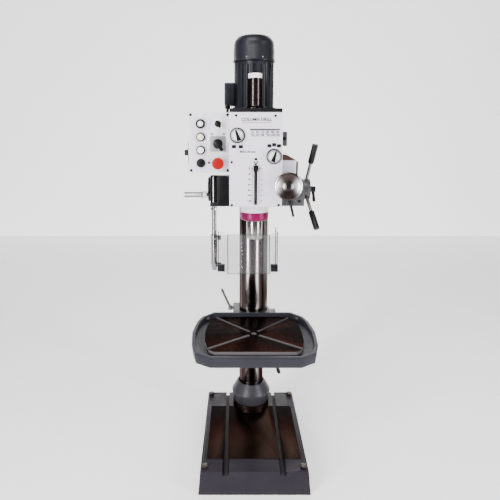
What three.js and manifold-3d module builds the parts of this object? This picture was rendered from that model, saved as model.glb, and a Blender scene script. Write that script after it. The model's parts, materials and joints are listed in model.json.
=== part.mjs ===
// Geared column drill press: floor base, column with rack, rise-and-fall table, geared head with
// spindle, quill feed, motor, control box and chuck guard. Millimetres, +Z up, front towards -Y,
// origin on the floor under the column axis.
import * as THREE from "three";
import Module from "manifold-3d";
import { mergeVertices } from "three/addons/utils/BufferGeometryUtils.js";

const wasm = await Module();
wasm.setup();

// ---- Fits ----
const GAP = 0.3; // between touching pieces
const RUN = 0.1; // radial, running fits
const ROUND = 20; // sides of a round piece
const LARGE = 48; // sides of the column and what fits it
const OVER = 2; // how far a cutting tool passes the face it cuts
const FAR = 2000; // far end of a cut that runs right through

// ---- Main sizes ----
const BASE_W = 432;
const BASE_BACK = 110;
const BASE_FRONT = -492;
const BASE_H = 95;
const BASE_FLARE = 8;
const BASE_WALL = 16;
const BASE_ROOF = 30;
const RIB_T = 12;
const PAD_RISE = 3;
const PAD_W = BASE_W - 44;
const PAD_FRONT = -418;
const PAD_BACK = -24;
const PAD_TOP = BASE_H + PAD_RISE;
const SEAT_R = 87; // turned seat that carries the column and its collar
const SEAT_RISE = 30;
const SEAT_TOP = PAD_TOP + SEAT_RISE;
const RIB_CLEAR = 4;
const BASE_SLOT_X = 115;
const SLOT_THROAT = 15;
const SLOT_T_W = 25;
const SLOT_T_H = 9;
const SLOT_NECK = 11;
const BOLT_X = BASE_W / 2 - 18;
const BOLT_BACK_Y = 88;
const BOLT_FRONT_Y = -466;
const BOLT_R = 8;
const BOLT_HEAD_R = 13;
const BOLT_HEAD_H = 12;
const COLUMN_R = 57.5;
const COLUMN_WALL = 14;
const COLUMN_TOP = 1440;
const COLUMN_FLOOR = 20; // closed foot of the column
const COLLAR_R = COLUMN_R + 35;
const COLLAR_NECK_R = COLUMN_R + 9.5;
const COLLAR_H = 98;
const COLLAR_LIP = 5;
const SPINDLE_Y = -340; // spindle, quill and table axis
const RACK_BOTTOM = 330;
const RACK_TOP = 1140;
const RACK_T = 18;
const RACK_W = 28;
const RACK_SINK = 4; // depth of the rack's hollow back

// ---- Head ----
const HEAD_W = 190;
const HEAD_BOTTOM = 1150;
const HEAD_TOP = 1500;
const HEAD_FRONT = -450;
const HEAD_BACK = 92;
const CHAMBER_FLOOR = 1316;
const CHAMBER_FRONT = -434;
const CHAMBER_BACK = -100;
const HEAD_WALL = 11;
const POCKET_HALF = HEAD_W / 2 - 20;
const POCKET_FRONT = -236;
const POCKET_BACK = -COLUMN_R - 14.5;
const NOSE_R = 56;
const NOSE_BOTTOM = 1117;
const PANEL_T = 3;
const PANEL_W = HEAD_W + 6;
const PANEL_BOTTOM = 1152;
const PANEL_TOP = 1495;
const PANEL_BACK = HEAD_FRONT - GAP;
const PANEL_FRONT = PANEL_BACK - PANEL_T;
const DEPTH_SLOT_W = 13;
const DEPTH_SLOT_BOTTOM = 1156;
const DEPTH_SLOT_TOP = 1308;
const DIAL_STEM_R = 8;
const DIAL_R = 24;
const DIAL_THICK = 14;
const DIAL_TURN = [-0.35, 0.3];
const QUILL_R = 37.5;
const QUILL_BOTTOM = 1080;
const QUILL_TOP = 1306;
const QUILL_BORE_R = 20;
const RING_H = 32;
const SPINDLE_R = 18;
const SPINDLE_TOP = 1640;
const SPINDLE_NOSE_R = 31;
const SPINDLE_BOTTOM = 1008;
const TAPER_R = 12;
const TAPER_DEPTH = 64;
const COVER_R = 26;
const COVER_BORE_R = 21;
const COVER_TOP = 1650;
const TOP_PLATE_T = 14;
const TOP_PLATE_W = HEAD_W + 4;
const PLATE_BACK = -88;
const PLATE_TOP = HEAD_TOP + GAP + TOP_PLATE_T;
const QUILL_LOCK_Y = SPINDLE_Y;
const QUILL_LOCK_Z = 1184;
const QUILL_LOCK_END = -(QUILL_R + GAP + 1); // inner end of the lock screw, clear of the quill
const QUILL_LOCK_LEFT = -HEAD_W / 2 - 183;
const QUILL_LOCK_R = 10;

// ---- Gears ----
const MODULE = 5;
const PINION_TEETH = 20;
const GEAR_TEETH = 30;
const GEAR_Z = 1400;
const GEAR_FACE = 22;
const GEAR_SLEEVE_R = 28;
const GEAR_ROOT = 1.15; // tooth depths as shares of the module
const GEAR_TIP = 0.7;
const SHAFT_R = 12;
const MOTOR_Y = SPINDLE_Y + (MODULE * (PINION_TEETH + GEAR_TEETH)) / 2;

// ---- Motor ----
const MOTOR_R = 80;
const FIN_DEPTH = 8;
const FINS = 22;
const MOTOR_BORE_R = 52;
const MOTOR_H = 195;
const MOTOR_BOTTOM = PLATE_TOP + GAP;
const MOTOR_TOP = MOTOR_BOTTOM + MOTOR_H;
const MOTOR_END_T = 12;
const MOTOR_FLANGE_R = MOTOR_R + 8;
const MOTOR_FLANGE_T = 15;
const FLANGE_FLAT = MOTOR_Y - SPINDLE_Y - COVER_R - 14; // flat on the flange behind the spindle cover
const FAN_COVER_R = 83;
const FAN_COVER_TOP = 1812;
const FAN_R = 68;
const FAN_SLOTS = 8;
const FAN_BLADES = 6;
const FAN_LIFT = 30; // height of the fan above the motor's end
const FAN_HUB_R = 20;
const FAN_H = 30;
const TERMINAL_LEFT = -HEAD_W / 2 - 25;
const TERMINAL_BOTTOM = 1537;
const TERMINAL_TOP = 1626;
const TERMINAL_HALF = 42;
const CABLE_R = 6;
const CABLE_X = TERMINAL_LEFT + 12;
const CABLE_DIP = 14; // how far the cable enters the terminal box

// ---- Control box ----
const BOX_RIGHT = -HEAD_W / 2 - GAP;
const BOX_LEFT = -HEAD_W / 2 - 154;
const BOX_BOTTOM = 1278;
const BOX_TOP = 1500;
const BOX_BACK = -345;
const BOX_FRONT = -437;
const BOX_WALL = 4;
const BOX_PANEL_T = 3;
const BUTTON_X = BOX_LEFT + 45;
const BUTTON_R = 9;
const BUTTON_Z = [1410, 1362, 1314];
const LAMP_Z = 1458;
const KNOB_X = BOX_LEFT + 109;
const MODE_Z = 1458;
const SPEED_Z = 1385;
const ESTOP_Z = 1313;
const STEM_R = 7;
const ESTOP_TRAVEL = 6;
const SPEED_TURN = 0.6;
const ESTOP_R = 22;
const SPEED_KNOB_R = 18;
const MODE_KNOB_R = 12;
const LAMP_R = 14;
const ISOLATOR_Y = -400;
const ISOLATOR_Z = 1352;
const GLAND_X = BOX_LEFT + 107;
const GLAND_Z = 1448;

// ---- Feed ----
const FEED_Y = -280;
const FEED_Z = 1200;
const FEED_R = 14;
const FEED_LEFT = -HEAD_W / 2 - 91;
const GEARBOX_RIGHT = HEAD_W / 2 + 89;
const GEARBOX_BACK = -236;
const GEARBOX_BOTTOM = 1152;
const GEARBOX_TOP = 1250;
const GEARBOX_NOSE = 8; // turned face that the hub runs against
const HUB_R = 42;
const HUB_RIGHT = GEARBOX_RIGHT + 42;
const HUB_CAP = 12; // closed outer end of the hub
const ARMS = 3;
const ARM_ROOT_X = GEARBOX_RIGHT + 20;
const ARM_SINK = 11; // how deep an arm sits in the hub
const ARM_SOCKET = 20; // how deep a grip takes its arm
const ARM_R = 6.5;
const ARM_LENGTH = 84;
const GRIP_R = 12;
const GRIP_LENGTH = 78;
const ARM_START = 73;
const ARM_SPLAY = 10;
const WHEEL_X = HEAD_W / 2 + 23;
const WHEEL_Z = 1232;
const WHEEL_R = 52;
const GEARBOX_FRONT = -436;
const WHEEL_BOSS = 34;
const WHEEL_STEM_R = 8;
const WHEEL_BORE = 40;
const CLUTCH_X = WHEEL_X + 10;
const CLUTCH_Z = 1174;
const SPRING_R = 50;
const SPRING_W = 24;
const SPRING_NECK_R = 26;
const SWITCH_RIGHT = HEAD_W / 2 + 63;
const SWITCH_BOTTOM = 1272;
const SWITCH_TOP = 1342;
const SWITCH_FRONT = -392;
const SWITCH_BACK = -330;

// ---- Guard ----
const ROD_X = -HEAD_W / 2 - 63;
const ROD_Y = -395;
const ROD_R = 9;
const ROD_BOTTOM = 893;
const ROD_TOP = 1262;
const BRACKET_LEFT = ROD_X - 14;
const BRACKET_FRONT = -432;
const BRACKET_BACK = -352;
const BRACKET_BOTTOM = 1150;
const BRACKET_TOP = 1264;
const SHIELD_BOTTOM = 897;
const SHIELD_H = 152;
const SHIELD_T = 4;
const SHIELD_FRONT = -470;
const SHIELD_SIDE = -412; // where the front bends back
const SHIELD_BACK = -320;
const SHIELD_RIGHT = 88;
const SHIELD_BEND_LEFT = -104;
const SHIELD_BEND_RIGHT = 52;
const CLAMP_WALL = 3;
const CLAMP_LENGTH = 130;

// ---- Table ----
const TABLE_TOP = 612;
const TABLE_BOTTOM = 569;
const TABLE_PAD = 606;
const TROUGH_Z = 585;
const RIM_T = 13;
const TABLE_PIN_R = 28;
const ARM_TOP = 548;
const ARM_BOTTOM = 488;
const CLAMP_BOTTOM = 470;
const CLAMP_TOP = 590;
const CLAMP_R = COLUMN_R + 30.5;
const TABLE_BOSS_R = 52;
const CRANK_R = 9;
const CRANK_CASE_RIGHT = CLAMP_R + 34;
const CRANK_X = CRANK_CASE_RIGHT + 4;
const CRANK_WEB = 12;
const CRANK_Y = 44;
const CRANK_Z = 522;
const CRANK_THROW = 90;
const CRANK_GRIP_R = 12;
const LOCK_R = 7;
const LOCK_Y = 62;
const LOCK_Z = 572;
const TABLE_LOCK_Z = 518;
const CENTRE_HOLE_R = 12;
const FRONT_DIAGONAL = Math.atan2(150, 190);
const BACK_DIAGONAL = Math.atan2(180, 165);

// ---- Helpers ----
// Radius of a bore whose flats clear a round piece of radius r at every angle.
function fit(r, sides = ROUND) {
  return (r + RUN) / Math.cos(Math.PI / sides);
}

const finish = {
  paint: { roughness: 0.5, metalness: 0.1 },
  steel: { roughness: 0.25, metalness: 0.95 },
  plastic: { roughness: 0.45, metalness: 0 },
};

// A mesh with its own material.
function mesh(name, geometry, colour, surface) {
  const made = new THREE.Mesh(geometry, new THREE.MeshStandardMaterial({ color: colour, ...surface }));
  made.name = name;
  return made;
}

// A box between two corners.
function block(x0, x1, y0, y1, z0, z1) {
  const made = new THREE.BoxGeometry(x1 - x0, y1 - y0, z1 - z0);
  return made.translate((x0 + x1) / 2, (y0 + y1) / 2, (z0 + z1) / 2);
}

// Turns a shape made along Z so that it runs along X or Y instead.
function along(axis, geometry) {
  if (axis === "x") return geometry.rotateY(Math.PI / 2);
  if (axis === "y") return geometry.rotateX(Math.PI / 2);
  return geometry;
}

// A round bar along Z from z0 to z1, about the point x, y.
function bar(r, z0, z1, x = 0, y = 0, sides = ROUND, topR = r) {
  const made = new THREE.CylinderGeometry(topR, r, z1 - z0, sides).rotateX(Math.PI / 2);
  return made.translate(x, y, (z0 + z1) / 2);
}

// A round bar along X.
function barX(r, x0, x1, y, z, sides = ROUND) {
  return along("x", bar(r, x0, x1, 0, 0, sides)).translate(0, y, z);
}

// A round bar along Y.
function barY(r, y0, y1, x, z, sides = ROUND) {
  return along("y", bar(r, -y1, -y0, 0, 0, sides)).translate(x, 0, z);
}

// A turned part about Z from [radius, height] pairs.
function turned(profile, sides = ROUND + 8) {
  const points = profile.map(([r, z]) => new THREE.Vector2(r, z));
  return new THREE.LatheGeometry(points, sides).rotateX(Math.PI / 2);
}

// A prism with the outline of [x, y] pairs from z0 to z1.
function prism(outline, z0, z1) {
  const shape = new THREE.Shape(outline.map(([x, y]) => new THREE.Vector2(x, y)));
  const made = new THREE.ExtrudeGeometry(shape, { depth: z1 - z0, bevelEnabled: false });
  return made.translate(0, 0, z0);
}

// A tapered block: outlines with equal counts of corners, one at each height.
function tapered(lower, z0, upper, z1) {
  const count = lower.length;
  const corners = [...lower.map(([x, y]) => [x, y, z0]), ...upper.map(([x, y]) => [x, y, z1])];
  const caps = THREE.ShapeUtils.triangulateShape(lower.map(([x, y]) => new THREE.Vector2(x, y)), []);
  const faces = caps.flatMap(([a, b, c]) => [c, b, a, a + count, b + count, c + count]);
  for (let i = 0; i < count; i += 1) {
    const j = (i + 1) % count;
    faces.push(i, j, j + count, i, j + count, i + count);
  }
  const made = new THREE.BufferGeometry();
  made.setAttribute("position", new THREE.Float32BufferAttribute(corners.flat(), 3));
  made.setIndex(faces);
  return made;
}

// A geometry as a solid for cutting and joining.
function solid(geometry) {
  const bare = geometry.clone();
  bare.deleteAttribute("normal");
  bare.deleteAttribute("uv");
  const merged = mergeVertices(bare, 1e-4);
  return new wasm.Manifold(
    new wasm.Mesh({
      numProp: 3,
      vertProperties: new Float32Array(merged.attributes.position.array),
      triVerts: new Uint32Array(merged.index.array),
    }),
  );
}

// A solid back as a geometry.
function shaped(body) {
  const data = body.getMesh();
  const made = new THREE.BufferGeometry();
  made.setAttribute("position", new THREE.BufferAttribute(new Float32Array(data.vertProperties), 3));
  made.setIndex(new THREE.BufferAttribute(new Uint32Array(data.triVerts), 1));
  const flat = made.toNonIndexed();
  flat.computeVertexNormals();
  return flat;
}

// One geometry joined from several, less several more.
function carved(joined, removed = []) {
  let body = solid(joined[0]);
  joined.slice(1).forEach((piece) => {
    body = body.add(solid(piece));
  });
  removed.forEach((tool) => {
    body = body.subtract(solid(tool));
  });
  return shaped(body);
}

// Outline of a rectangle with its centre on x = 0.
function rectangle(width, y0, y1) {
  return [
    [-width / 2, y0],
    [width / 2, y0],
    [width / 2, y1],
    [-width / 2, y1],
  ];
}

// A T-slot cutter along +X from r0 to r1, cut down from the face height.
function slotTool(r0, r1, face) {
  const neck = block(r0, r1, -SLOT_THROAT / 2, SLOT_THROAT / 2, face - SLOT_NECK - 1, face + OVER);
  const tee = block(r0, r1, -SLOT_T_W / 2, SLOT_T_W / 2, face - SLOT_NECK - SLOT_T_H, face - SLOT_NECK);
  return carved([neck, tee]);
}

// ---- Base and column ----
function base() {
  const wide = BASE_W + 2 * BASE_FLARE;
  const shell = tapered(
    rectangle(wide, BASE_FRONT - BASE_FLARE, BASE_BACK + BASE_FLARE),
    0,
    rectangle(BASE_W, BASE_FRONT, BASE_BACK),
    BASE_H,
  );
  const pad = block(-PAD_W / 2, PAD_W / 2, PAD_FRONT, PAD_BACK, BASE_H - 1, PAD_TOP);
  const seat = bar(SEAT_R, BASE_H - 1, SEAT_TOP, 0, 0, LARGE);
  const inside = BASE_W / 2 - BASE_WALL;
  const roof = BASE_H - BASE_ROOF;
  const pocketFront = BASE_FRONT + BASE_WALL;
  const pocketBack = BASE_BACK - BASE_WALL;
  const pockets = [
    block(-inside, -RIB_T / 2, pocketFront, -SEAT_R - RIB_CLEAR, -OVER, roof),
    block(RIB_T / 2, inside, pocketFront, -SEAT_R - RIB_CLEAR, -OVER, roof),
    block(-inside, -SEAT_R - RIB_CLEAR, -SEAT_R + 2 * RIB_CLEAR, pocketBack, -OVER, roof),
    block(SEAT_R + RIB_CLEAR, inside, -SEAT_R + 2 * RIB_CLEAR, pocketBack, -OVER, roof),
  ];
  const slots = [-BASE_SLOT_X, BASE_SLOT_X].map((x) =>
    slotTool(-BASE_BACK - 20, -BASE_FRONT + 30, PAD_TOP).rotateZ(-Math.PI / 2).translate(x, 0, 0),
  );
  const holes = boltPlaces().map(([x, y]) => bar(fit(BOLT_R), -OVER, PAD_TOP + OVER, x, y));
  const body = carved([shell, pad, seat], [...pockets, ...slots, ...holes]);
  return mesh("base_plate", body, 0x3b3a40, finish.paint);
}

function boltPlaces() {
  return [
    [-BOLT_X, BOLT_FRONT_Y],
    [BOLT_X, BOLT_FRONT_Y],
    [-BOLT_X, BOLT_BACK_Y],
    [BOLT_X, BOLT_BACK_Y],
  ];
}

function levelBolts() {
  return boltPlaces().map(([x, y], i) => {
    const shank = bar(BOLT_R, 1, BASE_H + 4, 0, 0);
    const head = bar(BOLT_HEAD_R, BASE_H + GAP, BASE_H + BOLT_HEAD_H, 0, 0, 6);
    const made = mesh(`level_bolt_${i + 1}`, carved([shank, head]), 0x1b1b1d, finish.steel);
    made.position.set(x, y, 0);
    return made;
  });
}

function columnCollar() {
  const bore = fit(COLUMN_R, LARGE);
  const made = turned([
    [bore, 0],
    [COLLAR_R - 2 * COLLAR_LIP, 0],
    [COLLAR_R, 46],
    [COLLAR_R, 54],
    [COLLAR_R - COLLAR_LIP, 60],
    [COLLAR_NECK_R, COLLAR_H],
    [bore, COLLAR_H],
    [bore, 0],
  ], LARGE);
  const collar = mesh("column_collar", made, 0x45464b, finish.paint);
  collar.position.z = SEAT_TOP + GAP;
  return collar;
}

function column() {
  const floor = SEAT_TOP + GAP;
  const tube = bar(COLUMN_R, floor, COLUMN_TOP, 0, 0, LARGE);
  const bore = bar(COLUMN_R - COLUMN_WALL, floor + COLUMN_FLOOR, COLUMN_TOP + OVER);
  return mesh("column", carved([tube], [bore]), 0xb9bcc0, finish.steel);
}

function columnRack() {
  const x0 = COLUMN_R - RACK_SINK;
  const stock = block(x0, COLUMN_R + RACK_T, -RACK_W / 2, RACK_W / 2, RACK_BOTTOM, RACK_TOP);
  const seat = bar(fit(COLUMN_R, LARGE), RACK_BOTTOM - OVER, RACK_TOP + OVER, 0, 0, LARGE);
  return mesh("column_rack", carved([stock], [seat]), 0x8d9093, finish.steel);
}

// ---- Table ----
// Half widths and depths of the rim, given clockwise from the back left corner.
function tableOutline(inset) {
  const half = 254 - inset;
  const mid = 237 - inset;
  const front = 231 - inset;
  const side = [
    [176 - inset * 0.4, front],
    [225 - inset, 176 - inset * 0.3],
    [mid + 5, 120],
    [half - 5, 60],
    [half, 0],
    [half - 4, -60],
    [mid + 8, -125],
    [229 - inset, -190 + inset * 0.5],
    [171 - inset * 0.4, -front],
  ];
  const right = side.slice().reverse();
  const left = side.map(([x, y]) => [-x, y]);
  return [...right, ...left];
}

function padOutline() {
  const side = [
    [161, 188],
    [186, 150],
    [197, 80],
    [201, 0],
    [196, -80],
    [180, -150],
    [157, -170],
  ];
  return [...side.slice().reverse(), ...side.map(([x, y]) => [-x, y])];
}

function table() {
  const rim = tapered(tableOutline(5), TABLE_BOTTOM, tableOutline(0), TABLE_TOP);
  const island = prism(padOutline(), 0, FAR);
  const trough = carved([prism(tableOutline(RIM_T), TROUGH_Z, TABLE_TOP + OVER)], [island]);
  const face = prism(padOutline(), TABLE_PAD, TABLE_TOP + OVER);
  const boss = bar(TABLE_BOSS_R, ARM_TOP + GAP, TABLE_BOTTOM + 1);
  const pin = bar(TABLE_PIN_R, ARM_BOTTOM + 6, TABLE_BOTTOM + 1);
  const hole = bar(CENTRE_HOLE_R, 0, FAR, 0, 0);
  const angles = [BACK_DIAGONAL, Math.PI - BACK_DIAGONAL, Math.PI + FRONT_DIAGONAL, -FRONT_DIAGONAL];
  const slots = angles.map((angle) => slotTool(26, 260, TABLE_PAD).rotateZ(angle));
  const body = carved([rim, boss, pin], [trough, face, hole, ...slots]);
  const made = mesh("table", body, 0x4a4d52, finish.paint);
  made.position.y = SPINDLE_Y;
  return made;
}

function tableArm() {
  const bore = fit(COLUMN_R, LARGE);
  const collar = bar(CLAMP_R, CLAMP_BOTTOM, CLAMP_TOP, 0, 0);
  const beam = tapered(
    rectangle(90, SPINDLE_Y, -COLUMN_R),
    CLAMP_BOTTOM + 6,
    rectangle(120, SPINDLE_Y, -COLUMN_R),
    ARM_TOP,
  );
  const eye = bar(TABLE_BOSS_R + 6, ARM_BOTTOM, ARM_TOP, 0, SPINDLE_Y);
  const box = block(40, CRANK_CASE_RIGHT, 6, 80, CLAMP_BOTTOM + 10, CLAMP_TOP - 30);
  const lug = block(-CLAMP_R, -COLUMN_R + 5, 18, 84, CLAMP_BOTTOM + 20, CLAMP_TOP);
  const cuts = [
    bar(bore, 0, FAR, 0, 0, LARGE),
    bar(fit(TABLE_PIN_R), 0, FAR, 0, SPINDLE_Y),
    block(0, COLUMN_R + RACK_T + GAP, -RACK_W / 2 - GAP, RACK_W / 2 + GAP, 0, FAR),
    barX(fit(CRANK_R), COLUMN_R + 2, CRANK_X + OVER, CRANK_Y, CRANK_Z),
    barX(fit(LOCK_R), -CLAMP_R - OVER, -COLUMN_R - 2, LOCK_Y, LOCK_Z),
    barX(fit(LOCK_R), 20, 80, SPINDLE_Y, TABLE_LOCK_Z),
  ];
  return mesh("table_arm", carved([collar, beam, eye, box, lug], cuts), 0x3f4146, finish.paint);
}

function tableCrank() {
  const x0 = CRANK_X + CRANK_WEB;
  const shaft = barX(CRANK_R, COLUMN_R + 6, x0, 0, 0);
  const web = block(CRANK_X, x0, -11, 11, -CRANK_THROW - CRANK_GRIP_R, CRANK_GRIP_R);
  const arm = mesh("table_crank", carved([shaft, web]), 0x9a9da1, finish.steel);
  arm.position.set(0, CRANK_Y, CRANK_Z);
  const neck = barX(7, x0 + GAP, x0 + 8, 0, 0);
  const handle = barX(CRANK_GRIP_R, x0 + 7, x0 + 72, 0, 0);
  const grip = mesh("crank_grip", carved([neck, handle]), 0x1c1c1e, finish.plastic);
  grip.position.set(0, CRANK_Y, CRANK_Z - CRANK_THROW);
  return [arm, grip];
}

// A clamp lever with its screw along X and its rod leaning off it.
function lever(name, x0, x1, rodX, length, lean, colour, ball = 9) {
  const screw = barX(LOCK_R, x0, x1, 0, 0);
  const head = barX(LOCK_R + 5, Math.min(rodX - 10, rodX + 10), rodX + 10, 0, 0);
  const rod = bar(6.5, 0, length, 0, 0, 16, 5.5);
  const knob = bar(ball, length - 18, length, 0, 0, 16, ball - 1);
  const arm = carved([rod, knob]).rotateY(lean).translate(rodX, 0, 0);
  return mesh(name, carved([screw, head, arm]), colour, finish.steel);
}

function tableLocks() {
  const left = -CLAMP_R - 24;
  const column = lever("arm_clamp_lever", left, -COLUMN_R - 6, left + 9, 104, -0.42, 0x8e9094, 7);
  column.position.set(0, LOCK_Y, LOCK_Z);
  const turn = lever("table_lock_lever", 34, 84, 76, 90, Math.PI - 0.35, 0x232326, 8);
  turn.position.set(0, SPINDLE_Y, TABLE_LOCK_Z);
  return [column, turn];
}

// ---- Head ----
function headCasting() {
  const half = HEAD_W / 2;
  const shell = block(-half, half, HEAD_FRONT, HEAD_BACK, HEAD_BOTTOM, HEAD_TOP);
  const nose = bar(NOSE_R, NOSE_BOTTOM, HEAD_BOTTOM + 1, 0, SPINDLE_Y);
  const wide = half - HEAD_WALL;
  const slot = DEPTH_SLOT_W / 2;
  const cuts = [
    block(-wide, wide, CHAMBER_FRONT, CHAMBER_BACK, CHAMBER_FLOOR, HEAD_TOP + OVER),
    bar(fit(COLUMN_R, LARGE), 0, COLUMN_TOP + 6, 0, 0, LARGE),
    bar(fit(QUILL_R), 0, QUILL_TOP + 3, 0, SPINDLE_Y),
    bar(SPINDLE_R + 4, QUILL_TOP, CHAMBER_FLOOR + OVER, 0, SPINDLE_Y),
    block(-slot, slot, HEAD_FRONT - OVER, SPINDLE_Y, DEPTH_SLOT_BOTTOM, DEPTH_SLOT_TOP - OVER),
    barX(fit(FEED_R), -half - OVER, half + OVER, FEED_Y, FEED_Z),
    block(-POCKET_HALF, POCKET_HALF, POCKET_FRONT, POCKET_BACK, HEAD_BOTTOM - OVER, CHAMBER_FLOOR - 16),
    barX(fit(LOCK_R), -half - OVER, -30, QUILL_LOCK_Y, QUILL_LOCK_Z),
  ];
  return mesh("head_casting", carved([shell, nose], cuts), 0xe9e9e7, finish.paint);
}

function frontPanel() {
  const plate = block(-PANEL_W / 2, PANEL_W / 2, PANEL_FRONT, PANEL_BACK, PANEL_BOTTOM, PANEL_TOP);
  const slot = DEPTH_SLOT_W / 2;
  const front = PANEL_FRONT - OVER;
  const cuts = [
    block(-slot, slot, front, PANEL_BACK + OVER, DEPTH_SLOT_BOTTOM + OVER, DEPTH_SLOT_TOP - 2 * OVER),
    ...dialPlaces().map(([x, z]) => barY(fit(DIAL_STEM_R), front, PANEL_BACK + OVER, x, z)),
  ];
  return mesh("front_panel", carved([plate], cuts), 0xf1f1ef, finish.paint);
}

function dialPlaces() {
  return [
    [-68, 1416],
    [67, 1339],
  ];
}

function gearDials() {
  return dialPlaces().map(([x, z], i) => {
    const skirt = barY(DIAL_R, -DIAL_THICK, -GAP, 0, 0, 32);
    const ridge = block(-5, 5, -DIAL_THICK - 10, -DIAL_THICK + 2, -DIAL_R + 3, DIAL_R - 3);
    const pointer = ridge.rotateY(DIAL_TURN[i]);
    const stem = barY(DIAL_STEM_R, -1, PANEL_T + GAP, 0, 0);
    const name = i === 0 ? "gear_dial_left" : "gear_dial_right";
    const made = mesh(name, carved([skirt, pointer, stem]), 0xc9cbcd, finish.steel);
    made.position.set(x, PANEL_FRONT, z);
    return made;
  });
}

function motorPlate() {
  const half = TOP_PLATE_W / 2;
  const plate = block(-half, half, HEAD_FRONT + 4, PLATE_BACK, HEAD_TOP + GAP, PLATE_TOP);
  const cuts = [
    bar(COVER_BORE_R, 0, FAR, 0, SPINDLE_Y),
    bar(SHAFT_R + 4, 0, FAR, 0, MOTOR_Y),
  ];
  return mesh("motor_plate", carved([plate], cuts), 0x2b2c2f, finish.paint);
}

function spindleCover() {
  const made = turned([
    [COVER_BORE_R, 0],
    [COVER_R + 12, 0],
    [COVER_R + 12, 6],
    [COVER_R, 14],
    [COVER_R, COVER_TOP - PLATE_TOP],
    [COVER_R - 3, COVER_TOP - PLATE_TOP + 4],
    [0, COVER_TOP - PLATE_TOP + 4],
    [0, COVER_TOP - PLATE_TOP],
    [COVER_BORE_R, COVER_TOP - PLATE_TOP],
    [COVER_BORE_R, 0],
  ]);
  const cover = mesh("spindle_cover", made, 0xa9acb0, finish.steel);
  cover.position.set(0, SPINDLE_Y, PLATE_TOP + GAP);
  return cover;
}

function polar(r, angle) {
  return [r * Math.cos(angle), r * Math.sin(angle)];
}

// A gear about Z from z = 0 to the face width, with a round bore.
function gear(teeth, bore, sleeveR, sleeveH) {
  const pitchR = (MODULE * teeth) / 2;
  const step = (2 * Math.PI) / teeth;
  const outline = [];
  for (let i = 0; i < teeth; i += 1) {
    const at = i * step;
    [
      [pitchR - GEAR_ROOT * MODULE, -0.29],
      [pitchR + GEAR_TIP * MODULE, -0.12],
      [pitchR + GEAR_TIP * MODULE, 0.12],
      [pitchR - GEAR_ROOT * MODULE, 0.29],
    ].forEach(([r, share]) => outline.push(polar(r, at + share * step)));
  }
  const joined = [prism(outline, 0, GEAR_FACE)];
  if (sleeveH) joined.push(bar(sleeveR, -sleeveH, 1, 0, 0));
  return carved(joined, bore ? [bar(bore, -FAR, FAR, 0, 0)] : []);
}

function spindleGear() {
  const floor = CHAMBER_FLOOR + GAP;
  const body = gear(GEAR_TEETH, fit(SPINDLE_R), GEAR_SLEEVE_R, GEAR_Z - floor);
  body.rotateZ(Math.PI / GEAR_TEETH + Math.PI / 2);
  const made = mesh("spindle_gear", body, 0x8b8e92, finish.steel);
  made.position.set(0, SPINDLE_Y, GEAR_Z);
  return made;
}

function motorRotor() {
  const wheel = gear(PINION_TEETH, 0, 0, 0).rotateZ(Math.PI / 2).translate(0, 0, GEAR_Z);
  const shaft = bar(SHAFT_R, GEAR_Z - 6, MOTOR_TOP + 74, 0, 0);
  const core = bar(MOTOR_BORE_R - 1, MOTOR_BOTTOM + 16, MOTOR_TOP - MOTOR_END_T - 6, 0, 0);
  const made = mesh("motor_rotor", carved([wheel, shaft, core]), 0x7d7f83, finish.steel);
  made.position.set(0, MOTOR_Y, 0);
  return made;
}

function motorHousing() {
  const outline = [];
  for (let i = 0; i < FINS; i += 1) {
    const step = (2 * Math.PI) / FINS;
    [
      [MOTOR_R - FIN_DEPTH, -0.3],
      [MOTOR_R, -0.14],
      [MOTOR_R, 0.14],
      [MOTOR_R - FIN_DEPTH, 0.3],
    ].forEach(([r, share]) => outline.push(polar(r, (i + share) * step)));
  }
  const joined = [
    prism(outline, MOTOR_FLANGE_T - 1, MOTOR_H - 4),
    bar(MOTOR_FLANGE_R, 0, MOTOR_FLANGE_T, 0, 0),
    bar(MOTOR_R - 2, MOTOR_H - 14, MOTOR_H, 0, 0),
  ];
  const cuts = [
    bar(MOTOR_BORE_R, 12, MOTOR_H - MOTOR_END_T, 0, 0),
    bar(fit(SHAFT_R), -OVER, MOTOR_H + OVER, 0, 0),
    block(-100, 100, -120, -FLANGE_FLAT, -OVER, MOTOR_FLANGE_T + 1),
  ];
  const made = mesh("motor_housing", carved(joined, cuts), 0x55585e, finish.paint);
  made.position.set(0, MOTOR_Y, MOTOR_BOTTOM);
  return made;
}

function fanCover() {
  const h = FAN_COVER_TOP - MOTOR_TOP;
  const inner = FAN_COVER_R - 3;
  const cup = turned([
    [inner, 0],
    [FAN_COVER_R + 3, 0],
    [FAN_COVER_R + 3, 5],
    [FAN_COVER_R, 11],
    [FAN_COVER_R, h - 52],
    [FAN_COVER_R - 1.5, h - 49],
    [FAN_COVER_R - 1.5, h - 34],
    [FAN_COVER_R - 4, h - 22],
    [FAN_COVER_R - 16, h - 6],
    [FAN_COVER_R - 30, h],
    [0, h],
    [0, h - 4],
    [FAN_COVER_R - 32, h - 4],
    [FAN_COVER_R - 20, h - 10],
    [inner - 4, h - 26],
    [inner, h - 38],
    [inner, 0],
  ]);
  const slots = [];
  for (let i = 0; i < FAN_SLOTS; i += 1) {
    slots.push(block(18, 46, -4, 4, h - 12, h + OVER).rotateZ((i * 2 * Math.PI) / FAN_SLOTS));
  }
  const made = mesh("fan_cover", carved([cup], slots), 0x4d5056, finish.paint);
  made.position.set(0, MOTOR_Y, MOTOR_TOP + GAP);
  return made;
}

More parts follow.
